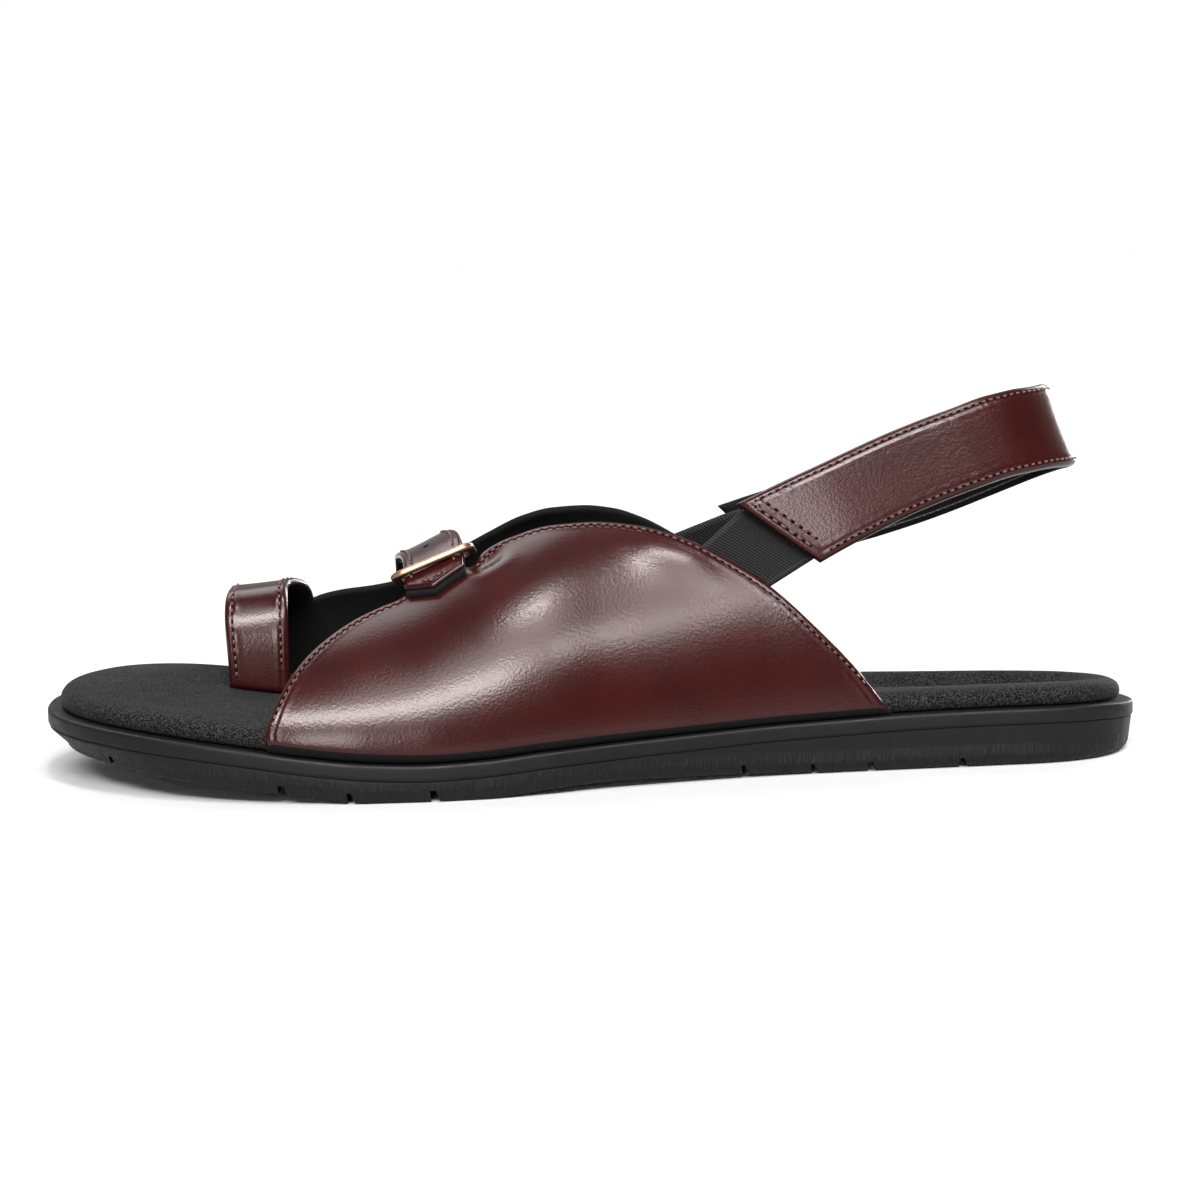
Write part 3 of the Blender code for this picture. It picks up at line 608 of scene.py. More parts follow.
def groove_cutter():
    """All the tread grooves as one mesh, to cut the sole with."""
    points = []
    faces = []
    for middle, width, deep, slant, reach in GROOVES:
        floor = float(sole_at("under", middle))
        wide = width * GROOVE_SHARE / 2 + GROOVE_FLARE
        narrow = width * GROOVE_SHARE / 2 * GROOVE_FLOOR
        mouth = [(-wide, -GROOVE_BELOW), (wide, -GROOVE_BELOW)]
        section = mouth + [(GROOVE_LEAN + narrow, deep), (GROOVE_LEAN - narrow, deep)]
        first = len(points)
        for side in (-1, 1):
            x = middle + side * slant / 2
            points += [(x + dx, side * reach / 2, floor + dz) for dx, dz in section]
        faces += [[first + k for k in face] for face in ((0, 1, 2, 3), (7, 6, 5, 4))]
        for k in range(4):
            n = (k + 1) % 4
            faces.append([first + k, first + k + 4, first + n + 4, first + n])
    return make_object("groove_cutter", points, faces, [])


def make_sole(rubber):
    plan = outline(SOLE_POINTS)
    x, y = plan.T
    under = sole_at("under", x)
    foot = sole_at("foot", x)
    tuck = FOOT_IN + sole_at("tuck", x)
    rim = rim_height(x, y)
    rings = []

    def add(distance, z):
        rings.append(np.concatenate([inset(plan, distance), np.reshape(z, (-1, 1))], axis=1))

    add(FLAT_IN, under)
    for turn in np.linspace(0, math.pi / 2, 6):
        add(tuck + FOOT_SLOPE * foot * (1 - math.sin(turn)), under + foot * (1 - math.cos(turn)))
    low = under + foot
    high = rim + WALL_HIGH[0][1]
    for share in LOW_WALL:
        add(tuck + (WALL_HIGH[0][0] - tuck) * share, low + (high - low) * share)
    for distance, rise in WALL_HIGH:
        add(distance, rim + rise)
    top = WALL_HIGH[-1][1]
    form = capped(rings, lambda px, py: sole_at("under", px), 6, lambda px, py: rim_height(px, py) + top, 6)
    sole = make_object("sole_rubber", *form, [rubber])
    cutter = groove_cutter()
    step = sole.modifiers.new("grooves", "BOOLEAN")
    step.solver = "EXACT"
    step.object = cutter
    bpy.context.view_layer.update()
    done = bpy.data.meshes.new_from_object(sole.evaluated_get(bpy.context.evaluated_depsgraph_get()))
    sole.modifiers.clear()
    sole.data = done
    bpy.data.objects.remove(cutter, do_unlink=True)
    spots = np.array([vertex.co for vertex in done.vertices]) / MM
    add_tag(done, TREAD_TAG, spots[:, 2] - sole_at("under", spots[:, 0]))
    done.shade_smooth()
    done.set_sharp_from_angle(angle=math.radians(SHARP_ANGLE))
    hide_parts("outsole")


# The footbed's side: how far in, and the height from the rim
FOOTBED_SIDE = (
    (1.6, 0.35), (0.7, 0.5), (0.3, 1), (0.08, 1.6), (0, 2.2),
    (0.05, 2.9), (0.25, 3.6), (0.7, 4.3), (1.4, 4.8), (2.3, 5.15),
    (3.4, 5.4), (5, 5.55), (7, 5.6), (9, 5.6), (11, 5.6),
    (13, 5.6),
)
FOOTBED_HEIGHT = 5.6
SWELL_IN = 1  # the top swells from this far in and this high up
SWELL_UP = 3
# Where the footbed's top rises or sinks: centre, reach and height
SWELLS = (
    ((-104, 26), (60, 50), 2),  # crown under the toes
    ((24, 34), (44, 26), 2.4),  # arch
    ((108, 32), (75, 34), -3.8),  # inner side of the heel
    ((-90, 8), (26, 22), -1.6),  # dent at the toe loop, only here and not in the solids
)
SEAT_CENTRE = (98, 4)
SEAT_REACH = (41, 22)  # the cupped seat's hollow inside its bolster
SEAT_SQUARE = 2.4
SEAT_DEPTH = 3.2


def footbed_swell(x, y):
    """How much the footbed's top rises or sinks at these places."""
    along = np.abs((x - SEAT_CENTRE[0]) / SEAT_REACH[0]) ** SEAT_SQUARE
    across = np.abs((y - SEAT_CENTRE[1]) / SEAT_REACH[1]) ** SEAT_SQUARE
    seat = -SEAT_DEPTH * (1 - ease(along + across, 0.45, 1))
    return seat + sum(rise * dome(x, y, centre, reach) for centre, reach, rise in SWELLS)


def footbed_top(x, y):
    return rim_height(x, y) + FOOTBED_HEIGHT + footbed_swell(x, y)


def make_footbed(nubuck):
    plan = outline(SOLE_POINTS)
    rings = []
    for far, rise in ((FLAT_IN, GAP),) + FOOTBED_SIDE:
        ring = inset(plan, RIM_WIDTH + far)
        x, y = ring.T
        share = np.clip((far - SWELL_IN) / SHOULDER_SPAN, 0, 1) if rise > SWELL_UP else 0
        z = rim_height(x, y) + rise + share * footbed_swell(x, y)
        rings.append(np.stack([x, y, z], axis=1))
    form = capped(rings, lambda px, py: rim_height(px, py) + GAP, 4, footbed_top, 24)
    pad = make_object("footbed_pad", *form, [nubuck])
    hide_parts("footbed")


# Upper

PUNCHED = ((-43.7, -2.9, 58.1), (-42.5, -13.4, 56.2))  # holes in the buckle strap
PUNCH_RADIUS = 0.8
PUNCH_LIFT = 0.06
PUNCH_SIDES = 20
LOOP_FULL = 3.3  # how full the toe loop's curve over the toe is: the solid's is 2.6
LOOP_FLARE = 1.7  # how late its inner leg narrows on its way up
LOOP_BULGE = 0.9  # how far its front edge swells forward halfway down
LEATHER = 1.3  # top layer of the buckle strap, over its padded lining
TUCK_DEPTH = 1.3  # how far a panel's foot turns in under itself
TUCK_HEIGHT = 3.4
FOOT_SHADE = (1.8, 2.3)  # grid lines above the foot: up to the second the outer skin wears the black lining, painted shade for the gap where the foot tucks in
FOOT_SHADE_ROWS = 6  # grid rows up to there, which carry that painted shade
PANEL_ROWS = {-1: 50, 1: 34}  # grid rows of the outer and the inner panel
SEAM_SHARES = (0.012, 0.985)  # the outer panel's stitches run between these shares of its edge,
SEAM_BREAK = (-49.5, -32)  # but not between these x, where the buckle strap crosses
RUN_ON = 60  # about how far the toe loop and the buckle strap run on from the inner panel
RUN_ON_ROWS = 56
PAD_START = -0.06  # where the strap's padded lining starts, and how far it shows past the tip
PAD_PAST = 0.014
PAD_RUN = 26
# Folds in the outer panel: rise, width, and the line they follow (x, z)
FOLDS = (
    (-1.4, 1.8, ((-36, 55.4), (-31.5, 55.4), (-27, 56.9), (-22, 59.4))),
    (0.45, 1.6, ((-34, 53.3), (-30, 53.1), (-26, 54.8), (-19, 58.3))),
    (0.8, 4.5, ((8, 60.5), (16, 58), (24, 54), (32, 47))),
)


def fold_relief(x, z):
    """How far the folds lift or sink the outer panel at these places."""
    relief = np.zeros_like(x)
    for rise, width, line in FOLDS:
        nodes = np.array(line)
        run = run_of(nodes)
        at = np.linspace(0, run[-1], 60)
        track = np.stack([smooth(run, nodes[:, 0], at), smooth(run, nodes[:, 1], at)], axis=1)
        apart = np.hypot(x[..., None] - track[:, 0], z[..., None] - track[:, 1])
        nearest = apart.argmin(axis=-1)
        share = at[nearest] / run[-1]
        fade = ease(share, -0.2, 0.25) * (1 - ease(share, 0.55, 1))  # full in the line's first half
        relief += rise * fade * np.exp(-((apart.min(axis=-1) / width) ** 2))
    return relief


def panel_grid(x, top, feet, side, shade=()):
    """A panel's columns from foot to edge: x, place around, and how much thinner the wall is there."""

    def columns(t):
        return feet[:, None] + (x - feet)[:, None] * t, side + (top - side)[:, None] * t

    spots = last_point(*columns(np.linspace(0, 1, 25)))
    lengths = np.linalg.norm(np.diff(spots, axis=1), axis=2).sum(axis=1)
    shares = spread(lengths, PANEL_ROWS[side], foot=shade)
    above = shares * lengths[:, None]
    return *columns(shares), TUCK_DEPTH * (1 - np.clip(above / TUCK_HEIGHT, 0, 1)) ** 2


def make_lateral_panel(hide, sewing):
    nodes = np.array(LATERAL_EDGE)
    run = run_of(nodes)
    at = spread(run[-1], 180)[0]
    x = smooth(run, nodes[:, 0], at * run[-1])
    z = smooth(run, nodes[:, 1], at * run[-1])
    top = around_at_height(x, z, -1)
    feet = LATERAL_FOOT[0] + (LATERAL_FOOT[1] - LATERAL_FOOT[0]) * at
    grid_x, grid_a, thinner = panel_grid(x, top, feet, -1, FOOT_SHADE)
    plain = wall_point(grid_x, grid_a, WALL)
    relief = fold_relief(plain[..., 0], plain[..., 2])
    low = wall_point(grid_x, grid_a, relief)
    high = wall_point(grid_x, grid_a, WALL + relief - thinner)
    # The lowest rows of the outer skin wear the black lining: painted shade for the dark gap where the foot
    # tucks in above the sole
    dark = np.zeros(grid_x.shape, dtype=bool)
    dark[:, :FOOT_SHADE_ROWS] = True
    panel, outer = make_sheet("lateral_panel", low, high, hide, dark=dark)
    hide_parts("upper")
    line = seam_line(outer[:, -1], outer[:, -8])
    front = line[(at > SEAM_SHARES[0]) & (x < SEAM_BREAK[0])]
    rear = line[(x > SEAM_BREAK[1]) & (at < SEAM_SHARES[1])]
    make_stitches("lateral_panel_stitches", skin_of(panel), [front, rear], sewing)


def loop_point(x, t):
    """The toe loop past the crest: t is 0 at the crest and 1 at its foot between the toes."""
    crest_y = last_at("crest_y", x)
    crest_z = last_at("crest_z", x)
    base_z = footbed_top(x, LOOP_FOOT_Y) + GAP
    power = 2 / LOOP_FULL
    turn = (1 - np.clip(t, 0, 1)) * math.pi / 2
    y = crest_y + (LOOP_FOOT_Y + WALL - crest_y) * np.cos(turn) ** power
    return np.stack([x, y, base_z + (crest_z - base_z) * np.sin(turn) ** power], axis=-1)


def section(start, end, count, ends):
    return start + (end - start) * spread(abs(end - start), count, ends)[0]


def strap_end(x):
    """How far round the buckle strap reaches at x: it ends in a blunt point."""
    across = (x - STRAP_FRONT) / (STRAP_REAR - STRAP_FRONT) * 2 - 1
    return STRAP_END - STRAP_POINT * (1 - np.abs(across))


def strap_lift(a):
    """0 where the buckle strap lies on the last and 1 where it lies over the outer panel."""
    return ease(STRAP_LIFT_START - a, 0, STRAP_LIFT_SPAN)


def make_medial_panel(hide, sewing):
    """The inner panel, and the toe loop and the buckle strap that run on from its upper edge."""
    neck_x, neck_z = MEDIAL_EDGE[1]
    loop = section(LOOP_FRONT, neck_x, 22, (True, True))
    before = section(neck_x, STRAP_FRONT, 20, (False, False))[1:]
    strap = section(STRAP_FRONT, STRAP_REAR, 18, (True, True))[1:]
    behind = section(STRAP_REAR, MEDIAL_EDGE[-1][0], 84, (False, True))[1:]
    x = np.concatenate([loop, before, strap, behind])
    nodes = np.array(MEDIAL_EDGE)
    z = np.where(x <= neck_x, neck_z, smooth(nodes[:, 0], nodes[:, 1], x))
    top = around_at_height(x, z, 1)
    feet = MEDIAL_FOOT[0] + (MEDIAL_FOOT[1] - MEDIAL_FOOT[0]) * (x - x[0]) / (x[-1] - x[0])
    grid_x, grid_a, thinner = panel_grid(x, top, feet, 1)
    rows = grid_x.shape[1] - 1
    low = wall_point(grid_x, grid_a, 0)
    high = wall_point(grid_x, grid_a, WALL - thinner)

    first = len(loop) + len(before) - 1
    in_loop = slice(0, len(loop))
    in_strap = slice(first, first + len(strap) + 1)
    reach = spread(RUN_ON, RUN_ON_ROWS, (False, True))[0][1:]
    more_low = np.repeat(low[:, -1:], len(reach), axis=1)
    more_high = np.repeat(high[:, -1:], len(reach), axis=1)

    climb = np.minimum(reach / LOOP_CLIMB, 1)
    past = np.maximum((reach - LOOP_CLIMB) / (1 - LOOP_CLIMB), 0)
    # The inner leg of the loop narrows from the neck up to the crest
    narrowed = 1 - (neck_x - LOOP_REAR) / (neck_x - LOOP_FRONT) * climb**LOOP_FLARE
    bulge = LOOP_BULGE * np.sin(math.pi * past)
    across = (x[in_loop, None] - LOOP_FRONT) / (neck_x - LOOP_FRONT)
    lx = LOOP_FRONT + (x[in_loop, None] - LOOP_FRONT) * narrowed - bulge * (1 - across)
    lx, lt = np.broadcast_arrays(lx, past)
    la = top[in_loop, None] * (1 - climb)
    drop = surface_normal(loop_point, lx, lt)
    for skin, distance in ((more_low, 0), (more_high, WALL)):
        rising = wall_point(lx, la, distance)
        falling = loop_point(lx, lt) - drop * distance
        skin[in_loop] = np.where((reach <= LOOP_CLIMB)[None, :, None], rising, falling)

    sx = x[in_strap, None]
    sa = top[in_strap, None] + (strap_end(sx) - top[in_strap, None]) * reach
    lift = strap_lift(sa)
    sx = sx + STRAP_LEAN * lift
    more_low[in_strap] = wall_point(sx, sa, (STRAP_LIFT + STRAP_TIP_WALL - LEATHER) * lift)
    more_high[in_strap] = wall_point(sx, sa, STRAP_LIFT * lift + WALL + (STRAP_TIP_WALL - WALL) * lift)

    low = np.concatenate([low, more_low], axis=1)
    high = np.concatenate([high, more_high], axis=1)
    cells = np.zeros((len(x) - 1, low.shape[1] - 1), dtype=bool)
    cells[:, :rows] = True
    cells[:len(loop) - 1, rows:] = True
    cells[first:first + len(strap), rows:] = True
    dark = np.zeros_like(cells)
    dark[len(loop):, rows - 3:rows] = True
    dark[first - 1:first + len(strap) + 1, rows - 3:rows] = False
    panel, outer = make_sheet("medial_panel", low, high, hide, cells, dark, unsewn=len(loop))
    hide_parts("upper")

    skin = skin_of(panel)
    last_loop = len(loop) - 1
    last_strap = first + len(strap)
    inner_row = rows - 8
    lines = [
        seam_line(outer[0, 8:-3], outer[8, 8:-3]),
        seam_line(outer[last_loop, rows:-6], outer[last_loop - 8, rows:-6]),
        seam_line(outer[last_loop:first, rows], outer[last_loop:first, inner_row])[3:-1],
        seam_line(outer[last_strap:, rows], outer[last_strap:, inner_row])[2:-6],
        seam_line(outer[first, rows:-5], outer[first + 8, rows:-5]),
        seam_line(outer[last_strap, rows:-5], outer[last_strap - 8, rows:-5]),
        seam_line(outer[in_strap, -1], outer[in_strap, -9], TIP_SEAM)[8:-8],
    ]
    make_stitches("medial_panel_stitches", skin, lines, sewing)
    make_punched_holes(skin, sewing[1])


def make_punched_holes(skin, hole):
    """The buckle strap's two holes, each a dark disc laid on the strap."""
    # Each disc is painted shade for the hollow of its hole, where the black pad also shows
    spots, normals = laid_on(skin, PUNCHED)
    points = []
    faces = []
    for spot, up in zip(spots, normals):
        side = unit(np.cross(up, (0, 0, 1)))
        add_disc(points, faces, spot + up * PUNCH_LIFT, side, np.cross(up, side), PUNCH_RADIUS, PUNCH_SIDES)
    made = make_object("strap_holes", points, faces, [hole], closed=False)


def make_strap_pad(lining):
    """The padded black lining that shows below the buckle strap's tip."""
    x = section(STRAP_FRONT, STRAP_REAR, 16, (True, True))[:, None]
    reach = spread(PAD_RUN, 30, (True, True), roll=0.6)[0]
    a = PAD_START + (strap_end(x) - PAD_PAST - PAD_START) * reach
    lift = strap_lift(a)
    x = x + STRAP_LEAN * lift
    low = wall_point(x, a, STRAP_LIFT * lift)
    high = wall_point(x, a, (STRAP_LIFT + STRAP_TIP_WALL - LEATHER) * lift + 0.05)
    pad, _ = make_sheet("strap_pad", low, high, [lining, lining], roll=0.5, seam=0.5)


# Buckle, elastics and heel strap

BUCKLE_SIDES = 40
BUCKLE_SQUARE = 2.6  # how square the rod's section is
BUCKLE_LINE = 0.13  # how deep its lengthwise lines are, as a share of its size
BUCKLE_LINE_WIDTH = 0.25
BAR_FLAT = 0.35  # how much wider the near bar is
SLING_WIDE = 22  # about how wide the heel strap is
SLING_PILLOW = 0.25  # how far the heel strap's middle swells
SLING_ROLL = 1.1
END_SEAMS = (2.5, 5.2)  # the two heavy rows at each end of the heel strap
END_PITCH = 2.5
END_SIZE = 1.3
RIB_HEIGHT = 0.2
RIB_PITCH = 0.8
PANEL_EDGES = {-1: LATERAL_EDGE, 1: MEDIAL_EDGE}
ELASTIC_COLUMNS = 330
ELASTIC_BREAKS = (0, 0.15, 0.85, 1)  # its two tucked ends and the free band between them


def make_buckle(metal):
    """A rounded ring of rod, its near bar flattened and drawn with fine lengthwise lines."""
    middle = (STRAP_FRONT + STRAP_REAR) / 2 + STRAP_LEAN
    over = STRAP_LIFT + STRAP_TIP_WALL + BUCKLE_ROD + GAP
    under = -(BUCKLE_ROD + GAP)
    near = wall_point(middle, BUCKLE_NEAR, over)
    far = wall_point(middle, BUCKLE_FAR, under)
    across = unit(wall_point(middle + 6, BUCKLE_NEAR, over) - wall_point(middle - 6, BUCKLE_NEAR, over))
    down = near - far
    down = down - across * (down @ across)
    depth = np.linalg.norm(down)
    down = down / depth
    normal = np.cross(across, down)
    centre = (near + far) / 2
    path = []
    for side, end, start in ((1, 1, 0), (-1, 1, 90), (-1, -1, 180), (1, -1, 270)):
        middle_u = side * (BUCKLE_WIDTH / 2 - BUCKLE_ROD - BUCKLE_CORNER)
        middle_v = end * (depth / 2 - BUCKLE_CORNER)
        for turn in np.radians(start + np.linspace(0, 90, 14)):
            u, v = math.cos(turn), math.sin(turn)
            path.append((middle_u + BUCKLE_CORNER * u, middle_v + BUCKLE_CORNER * v))
        if end == 1 and side == 1:
            path += [(u, middle_v + BUCKLE_CORNER) for u in np.linspace(middle_u, -middle_u, 20)[1:-1]]
    path = np.array(path)
    tangent = unit(np.roll(path, -1, axis=0) - np.roll(path, 1, axis=0))
    points = []
    for (u, v), (tu, tv) in zip(path, tangent):
        outward = across * tv - down * tu
        spot = centre + across * u + down * v
        flat = 1 + BAR_FLAT * float(ease(v, 0, depth / 2))
        for c, s in circle(BUCKLE_SIDES):
            triple = s * (4 * c * c - 1)  # the sine of three turns: six lines round the rod
            lines = BUCKLE_LINE * math.exp(-((triple / BUCKLE_LINE_WIDTH) ** 2))
            round_off = (abs(c) ** BUCKLE_SQUARE + abs(s) ** BUCKLE_SQUARE) ** (-1 / BUCKLE_SQUARE)
            size = BUCKLE_ROD * 0.96 * round_off * (1 - lines)
            points.append(spot + size * (outward * flat * c + normal * s))
    faces = ring_faces(len(path), BUCKLE_SIDES, joined=True)
    ring = make_object("buckle_ring", points, faces, [metal])
    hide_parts("buckle_frame")


SLING_LINE = np.array(SLING_TABLE)
SLING_RUN = run_of(SLING_LINE[:, :3])


def sling_frame(at):
    """Centres, halves of the width, and outward normals of the heel strap at distances along it."""

    def read(column, place):
        return smooth(SLING_RUN, SLING_LINE[:, column], place)

    centre, ahead, back = (
        np.stack([read(k, at + step) for k in range(3)], axis=-1) for step in (0, 0.5, -0.5))
    lean = np.radians(read(3, at))
    along = unit(ahead - back)
    wide = np.stack([-np.sin(lean), np.zeros_like(lean), np.cos(lean)], axis=-1)
    outward = unit(np.cross(along, wide))
    tilt = (math.radians(SLING_TILT) * np.abs(along[..., 0]))[..., None]
    half = (wide * np.cos(tilt) - outward * np.sin(tilt)) * read(4, at)[..., None] / 2
    return centre, half, outward * np.cos(tilt) + wide * np.sin(tilt)


def make_heel_strap(hide, sewing, black_sewing):
    total = SLING_RUN[-1]
    share = spread(total, 230)[0]
    up = spread(SLING_WIDE, 16)[0] * 2 - 1
    start = SLING_CUT / 2 * (1 - up)
    at = start + (total - 2 * start) * share[:, None]
    centre, half, outward = sling_frame(at)
    middle = centre + half * up[None, :, None]
    pillow = SLING_PILLOW * ease(np.abs(up), 0.95, 0.6)[None, :, None]
    low = middle - outward * SLING_WALL / 2
    high = middle + outward * (SLING_WALL / 2 + pillow)
    strap, outer = make_sheet("heel_strap_band", low, high, hide, roll=SLING_ROLL, foot=False)
    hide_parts("heel_strap")
    skin = skin_of(strap)
    lines = [seam_line(outer[:, k], outer[:, deeper], SLING_SEAM)[8:-8] for k, deeper in ((0, 8), (-1, -9))]
    make_stitches("heel_strap_stitches", skin, lines, sewing)
    doubled = []
    for end, deeper in ((0, 8), (-1, -9)):
        for distance in END_SEAMS:
            doubled.append(seam_line(outer[end], outer[deeper], distance)[6:-6])
    make_stitches("heel_strap_end_stitches", skin, doubled, sewing, END_PITCH, END_SIZE)
    centre, half, outward = sling_frame(np.linspace(14, total - 14, 200))
    inner_lines = [centre + half * side * 0.8 - outward * SLING_WALL / 2 for side in (-1, 1)]
    make_stitches("heel_strap_lining_stitches", skin, inner_lines, black_sewing)


def make_elastic(name, node, side, webbing):
    """A ribbed band from behind a panel's rear edge to behind the heel strap's front end."""
    total = SLING_RUN[-1]
    share = np.linspace(0, 1, 33)
    nodes = np.array(PANEL_EDGES[side])
    x = ELASTIC_START[side] + share * ELASTIC_SPAN
    a = around_at_height(x, smooth(nodes[:, 0], nodes[:, 1], x), side)
    depth = -(GAP + ELASTIC_WALL / 2)
    edge = wall_point(x, a, depth)
    up = 1 - 2 * share
    behind = []
    for tuck in (-GAP, ELASTIC_TUCK):
        at = SLING_CUT / 2 * (1 - up) + tuck
        centre, half, outward = sling_frame(at if side < 0 else total - at)
        inside = SLING_WALL / 2 + 2 * GAP + ELASTIC_WALL / 2
        behind.append(centre + half * up[:, None] * ELASTIC_SHARE - outward * inside)
    ahead = unit(edge - behind[0])
    tuck_x = x + ahead[:, 0] * ELASTIC_TUCK
    tuck_a = around_at_height(tuck_x, edge[:, 2] + ahead[:, 2] * ELASTIC_TUCK, side)
    lines = [wall_point(tuck_x, tuck_a, depth), edge] + behind
    spots = []
    for t in np.linspace(0, 1, ELASTIC_COLUMNS + 1):
        part = min(int(np.searchsorted(ELASTIC_BREAKS, t, side="right")) - 1, 2)
        start, end = ELASTIC_BREAKS[part:part + 2]
        local = (t - start) / (end - start)
        spots.append(lines[part] + (lines[part + 1] - lines[part]) * local)
    sheet = np.array(spots)
    normal = unit(np.cross(np.gradient(sheet, axis=0), np.gradient(sheet, axis=1)))
    normal *= np.where(normal[..., 1:2] * side < 0, -1, 1)
    distance = np.linalg.norm(np.diff(sheet, axis=0), axis=2).mean(axis=1)
    run = np.concatenate([[0], np.cumsum(distance)])
    rib = RIB_HEIGHT * np.cos(math.tau * run / RIB_PITCH)[:, None] * ease(np.abs(up), 1, 0.86)[None, :]
    out = normal * (ELASTIC_WALL / 2 + rib)[..., None]
    band, _ = make_sheet(name, sheet - out, sheet + out, [webbing, webbing], roll=0.5, seam=0.5, foot=False)
    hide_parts(node)


# Materials


class Nodes:
    """Short ways to build a node tree."""

    def __init__(self, tree):
        self.tree = tree

    def node(self, kind, **settings):
        made = self.tree.nodes.new(kind)
        for name, value in settings.items():
            if name in made.inputs:
                made.inputs[name].default_value = value
            else:
                setattr(made, name, value)
        return made

    def link(self, source, target):
        self.tree.links.new(source, target)

    def ranged(self, value, *numbers):
        """The value brought from one range to another: from low, from high, to low, to high."""
        made = self.node("ShaderNodeMapRange")
        for name, number in zip(("From Min", "From Max", "To Min", "To Max"), numbers):
            made.inputs[name].default_value = number
        self.link(value, made.inputs["Value"])
        return made.outputs["Result"]


class Shader(Nodes):
    """A Principled material."""

    def __init__(self, name, colour, roughness, **sockets):
        self.material = bpy.data.materials.new(name)
        self.material.use_nodes = True
        self.material.diffuse_color = (*colour, 1)
        super().__init__(self.material.node_tree)
        self.main = self.tree.nodes["Principled BSDF"]
        self.main.inputs["Base Color"].default_value = (*colour, 1)
        self.main.inputs["Roughness"].default_value = roughness
        for socket, value in sockets.items():
            self.main.inputs[socket.replace("_", " ")].default_value = value
        self.place = self.node("ShaderNodeTexCoord").outputs["Object"]

    def stretched(self, scale):
        """The object's places in metres, scaled along each axis."""
        made = self.node("ShaderNodeMapping")
        made.inputs["Scale"].default_value = scale
        self.link(self.place, made.inputs["Vector"])
        return made.outputs["Vector"]

    def noise(self, scale, detail=2, vector=None):
        made = self.node("ShaderNodeTexNoise", Scale=scale, Detail=detail)
        self.link(vector or self.place, made.inputs["Vector"])
        return made.outputs["Fac"]

    def maths(self, operation, first, second):
        made = self.node("ShaderNodeMath", operation=operation)
        for k, value in enumerate((first, second)):
            if isinstance(value, (int, float)):
                made.inputs[k].default_value = value
            else:
                self.link(value, made.inputs[k])
        return made.outputs[0]

    def tag(self, name):
        """A number kept for each point of the mesh, in millimetres."""
        return self.node("ShaderNodeAttribute", attribute_name=name).outputs["Fac"]

    def off_seam(self, distance):
        """How far a place lies off the line that runs this far in from a sewn edge."""
        return self.maths("ABSOLUTE", self.maths("SUBTRACT", self.tag(SEAM_TAG), distance), 0)

    def bump(self, height, strength, distance):
        made = self.node("ShaderNodeBump", Strength=strength, Distance=distance)
        self.link(height, made.inputs["Height"])
        before = self.main.inputs["Normal"].links
        if before:
            self.link(before[0].from_socket, made.inputs["Normal"])
        self.link(made.outputs["Normal"], self.main.inputs["Normal"])

    def colour(self, value, first, second):
        """A base colour between two, by a value from 0 to 1."""
        made = self.node("ShaderNodeMix", data_type="RGBA")
        made.inputs[6].default_value = (*first, 1)
        made.inputs[7].default_value = (*second, 1)
        self.link(value, made.inputs[0])
        self.link(made.outputs[2], self.main.inputs["Base Color"])

    def rough(self, low, high, scale, detail=2, start=0.3, end=0.7):
        """A roughness that wanders between two by a noise."""
        made = self.ranged(self.noise(scale, detail), start, end, low, high)
        self.link(made, self.main.inputs["Roughness"])


def leather_material():
    tint = (1, 0.92, 0.91, 1)
    made = Shader("maroon_leather", (0.0185, 0.0023, 0.0022), 0.245, IOR=1.36, Specular_Tint=tint)
    cloud = made.ranged(made.noise(55, 3), 0.35, 0.65, 0, 1)
    made.colour(cloud, (0.0160, 0.0020, 0.0019), (0.0210, 0.0027, 0.0026))
    made.rough(0.23, 0.26, 900)
    made.bump(made.noise(1500, 2), 0.5, 0.0001)
    off = made.off_seam(SEAM_IN)
    made.bump(made.ranged(off, 0, 0.8, 0, 1), 0.5, 0.0003)
    pucker = made.maths("MULTIPLY", made.noise(420, 1), made.ranged(off, 0, 2, 1, 0))
    made.bump(pucker, 0.4, 0.0005)
    return made.material


# Also worn by the outer panel's lowest rows as painted shade
def lining_material():
    made = Shader("black_lining", (0.004, 0.004, 0.0042), 0.8, IOR=1.15, Sheen_Weight=0.02,
                  Sheen_Roughness=0.5)
    made.colour(made.noise(1400), (0.002, 0.002, 0.0022), (0.006, 0.006, 0.0063))
    made.bump(made.noise(2600, 3), 0.35, 0.0002)
    return made.material


def nubuck_material():
    made = Shader("footbed_nubuck", (0.01, 0.01, 0.01), 0.9, IOR=1.15, Sheen_Weight=0.02,
                  Sheen_Roughness=0.45)
    nap = made.ranged(made.noise(2300, 3), 0.42, 0.66, 0, 1)
    made.colour(nap, (0.001, 0.001, 0.001), (0.026, 0.026, 0.026))
    made.rough(0.8, 0.95, 160, start=0.35, end=0.65)
    made.bump(made.noise(2800, 3), 0.5, 0.0002)
    made.bump(made.noise(45, 2), 0.1, 0.001)
    return made.material


def rubber_material():
    made = Shader("sole_rubber", (0.0026, 0.0026, 0.0028), 0.5, IOR=1.29)
    made.rough(0.45, 0.6, 240, 3)
    ribs = made.noise(1, 2, made.stretched((1300, 1300, 60)))
    band = made.ranged(made.tag(TREAD_TAG), 3.2, 6, 1, 0)
    made.bump(made.maths("MULTIPLY", ribs, band), 0.9, 0.001)
    made.bump(made.noise(1200, 2), 0.08, 0.0002)
    return made.material


def metal_material():
    made = Shader("rose_gold", (0.42, 0.25, 0.17), 0.36, Metallic=1)
    made.rough(0.3, 0.4, 900)
    return made.material


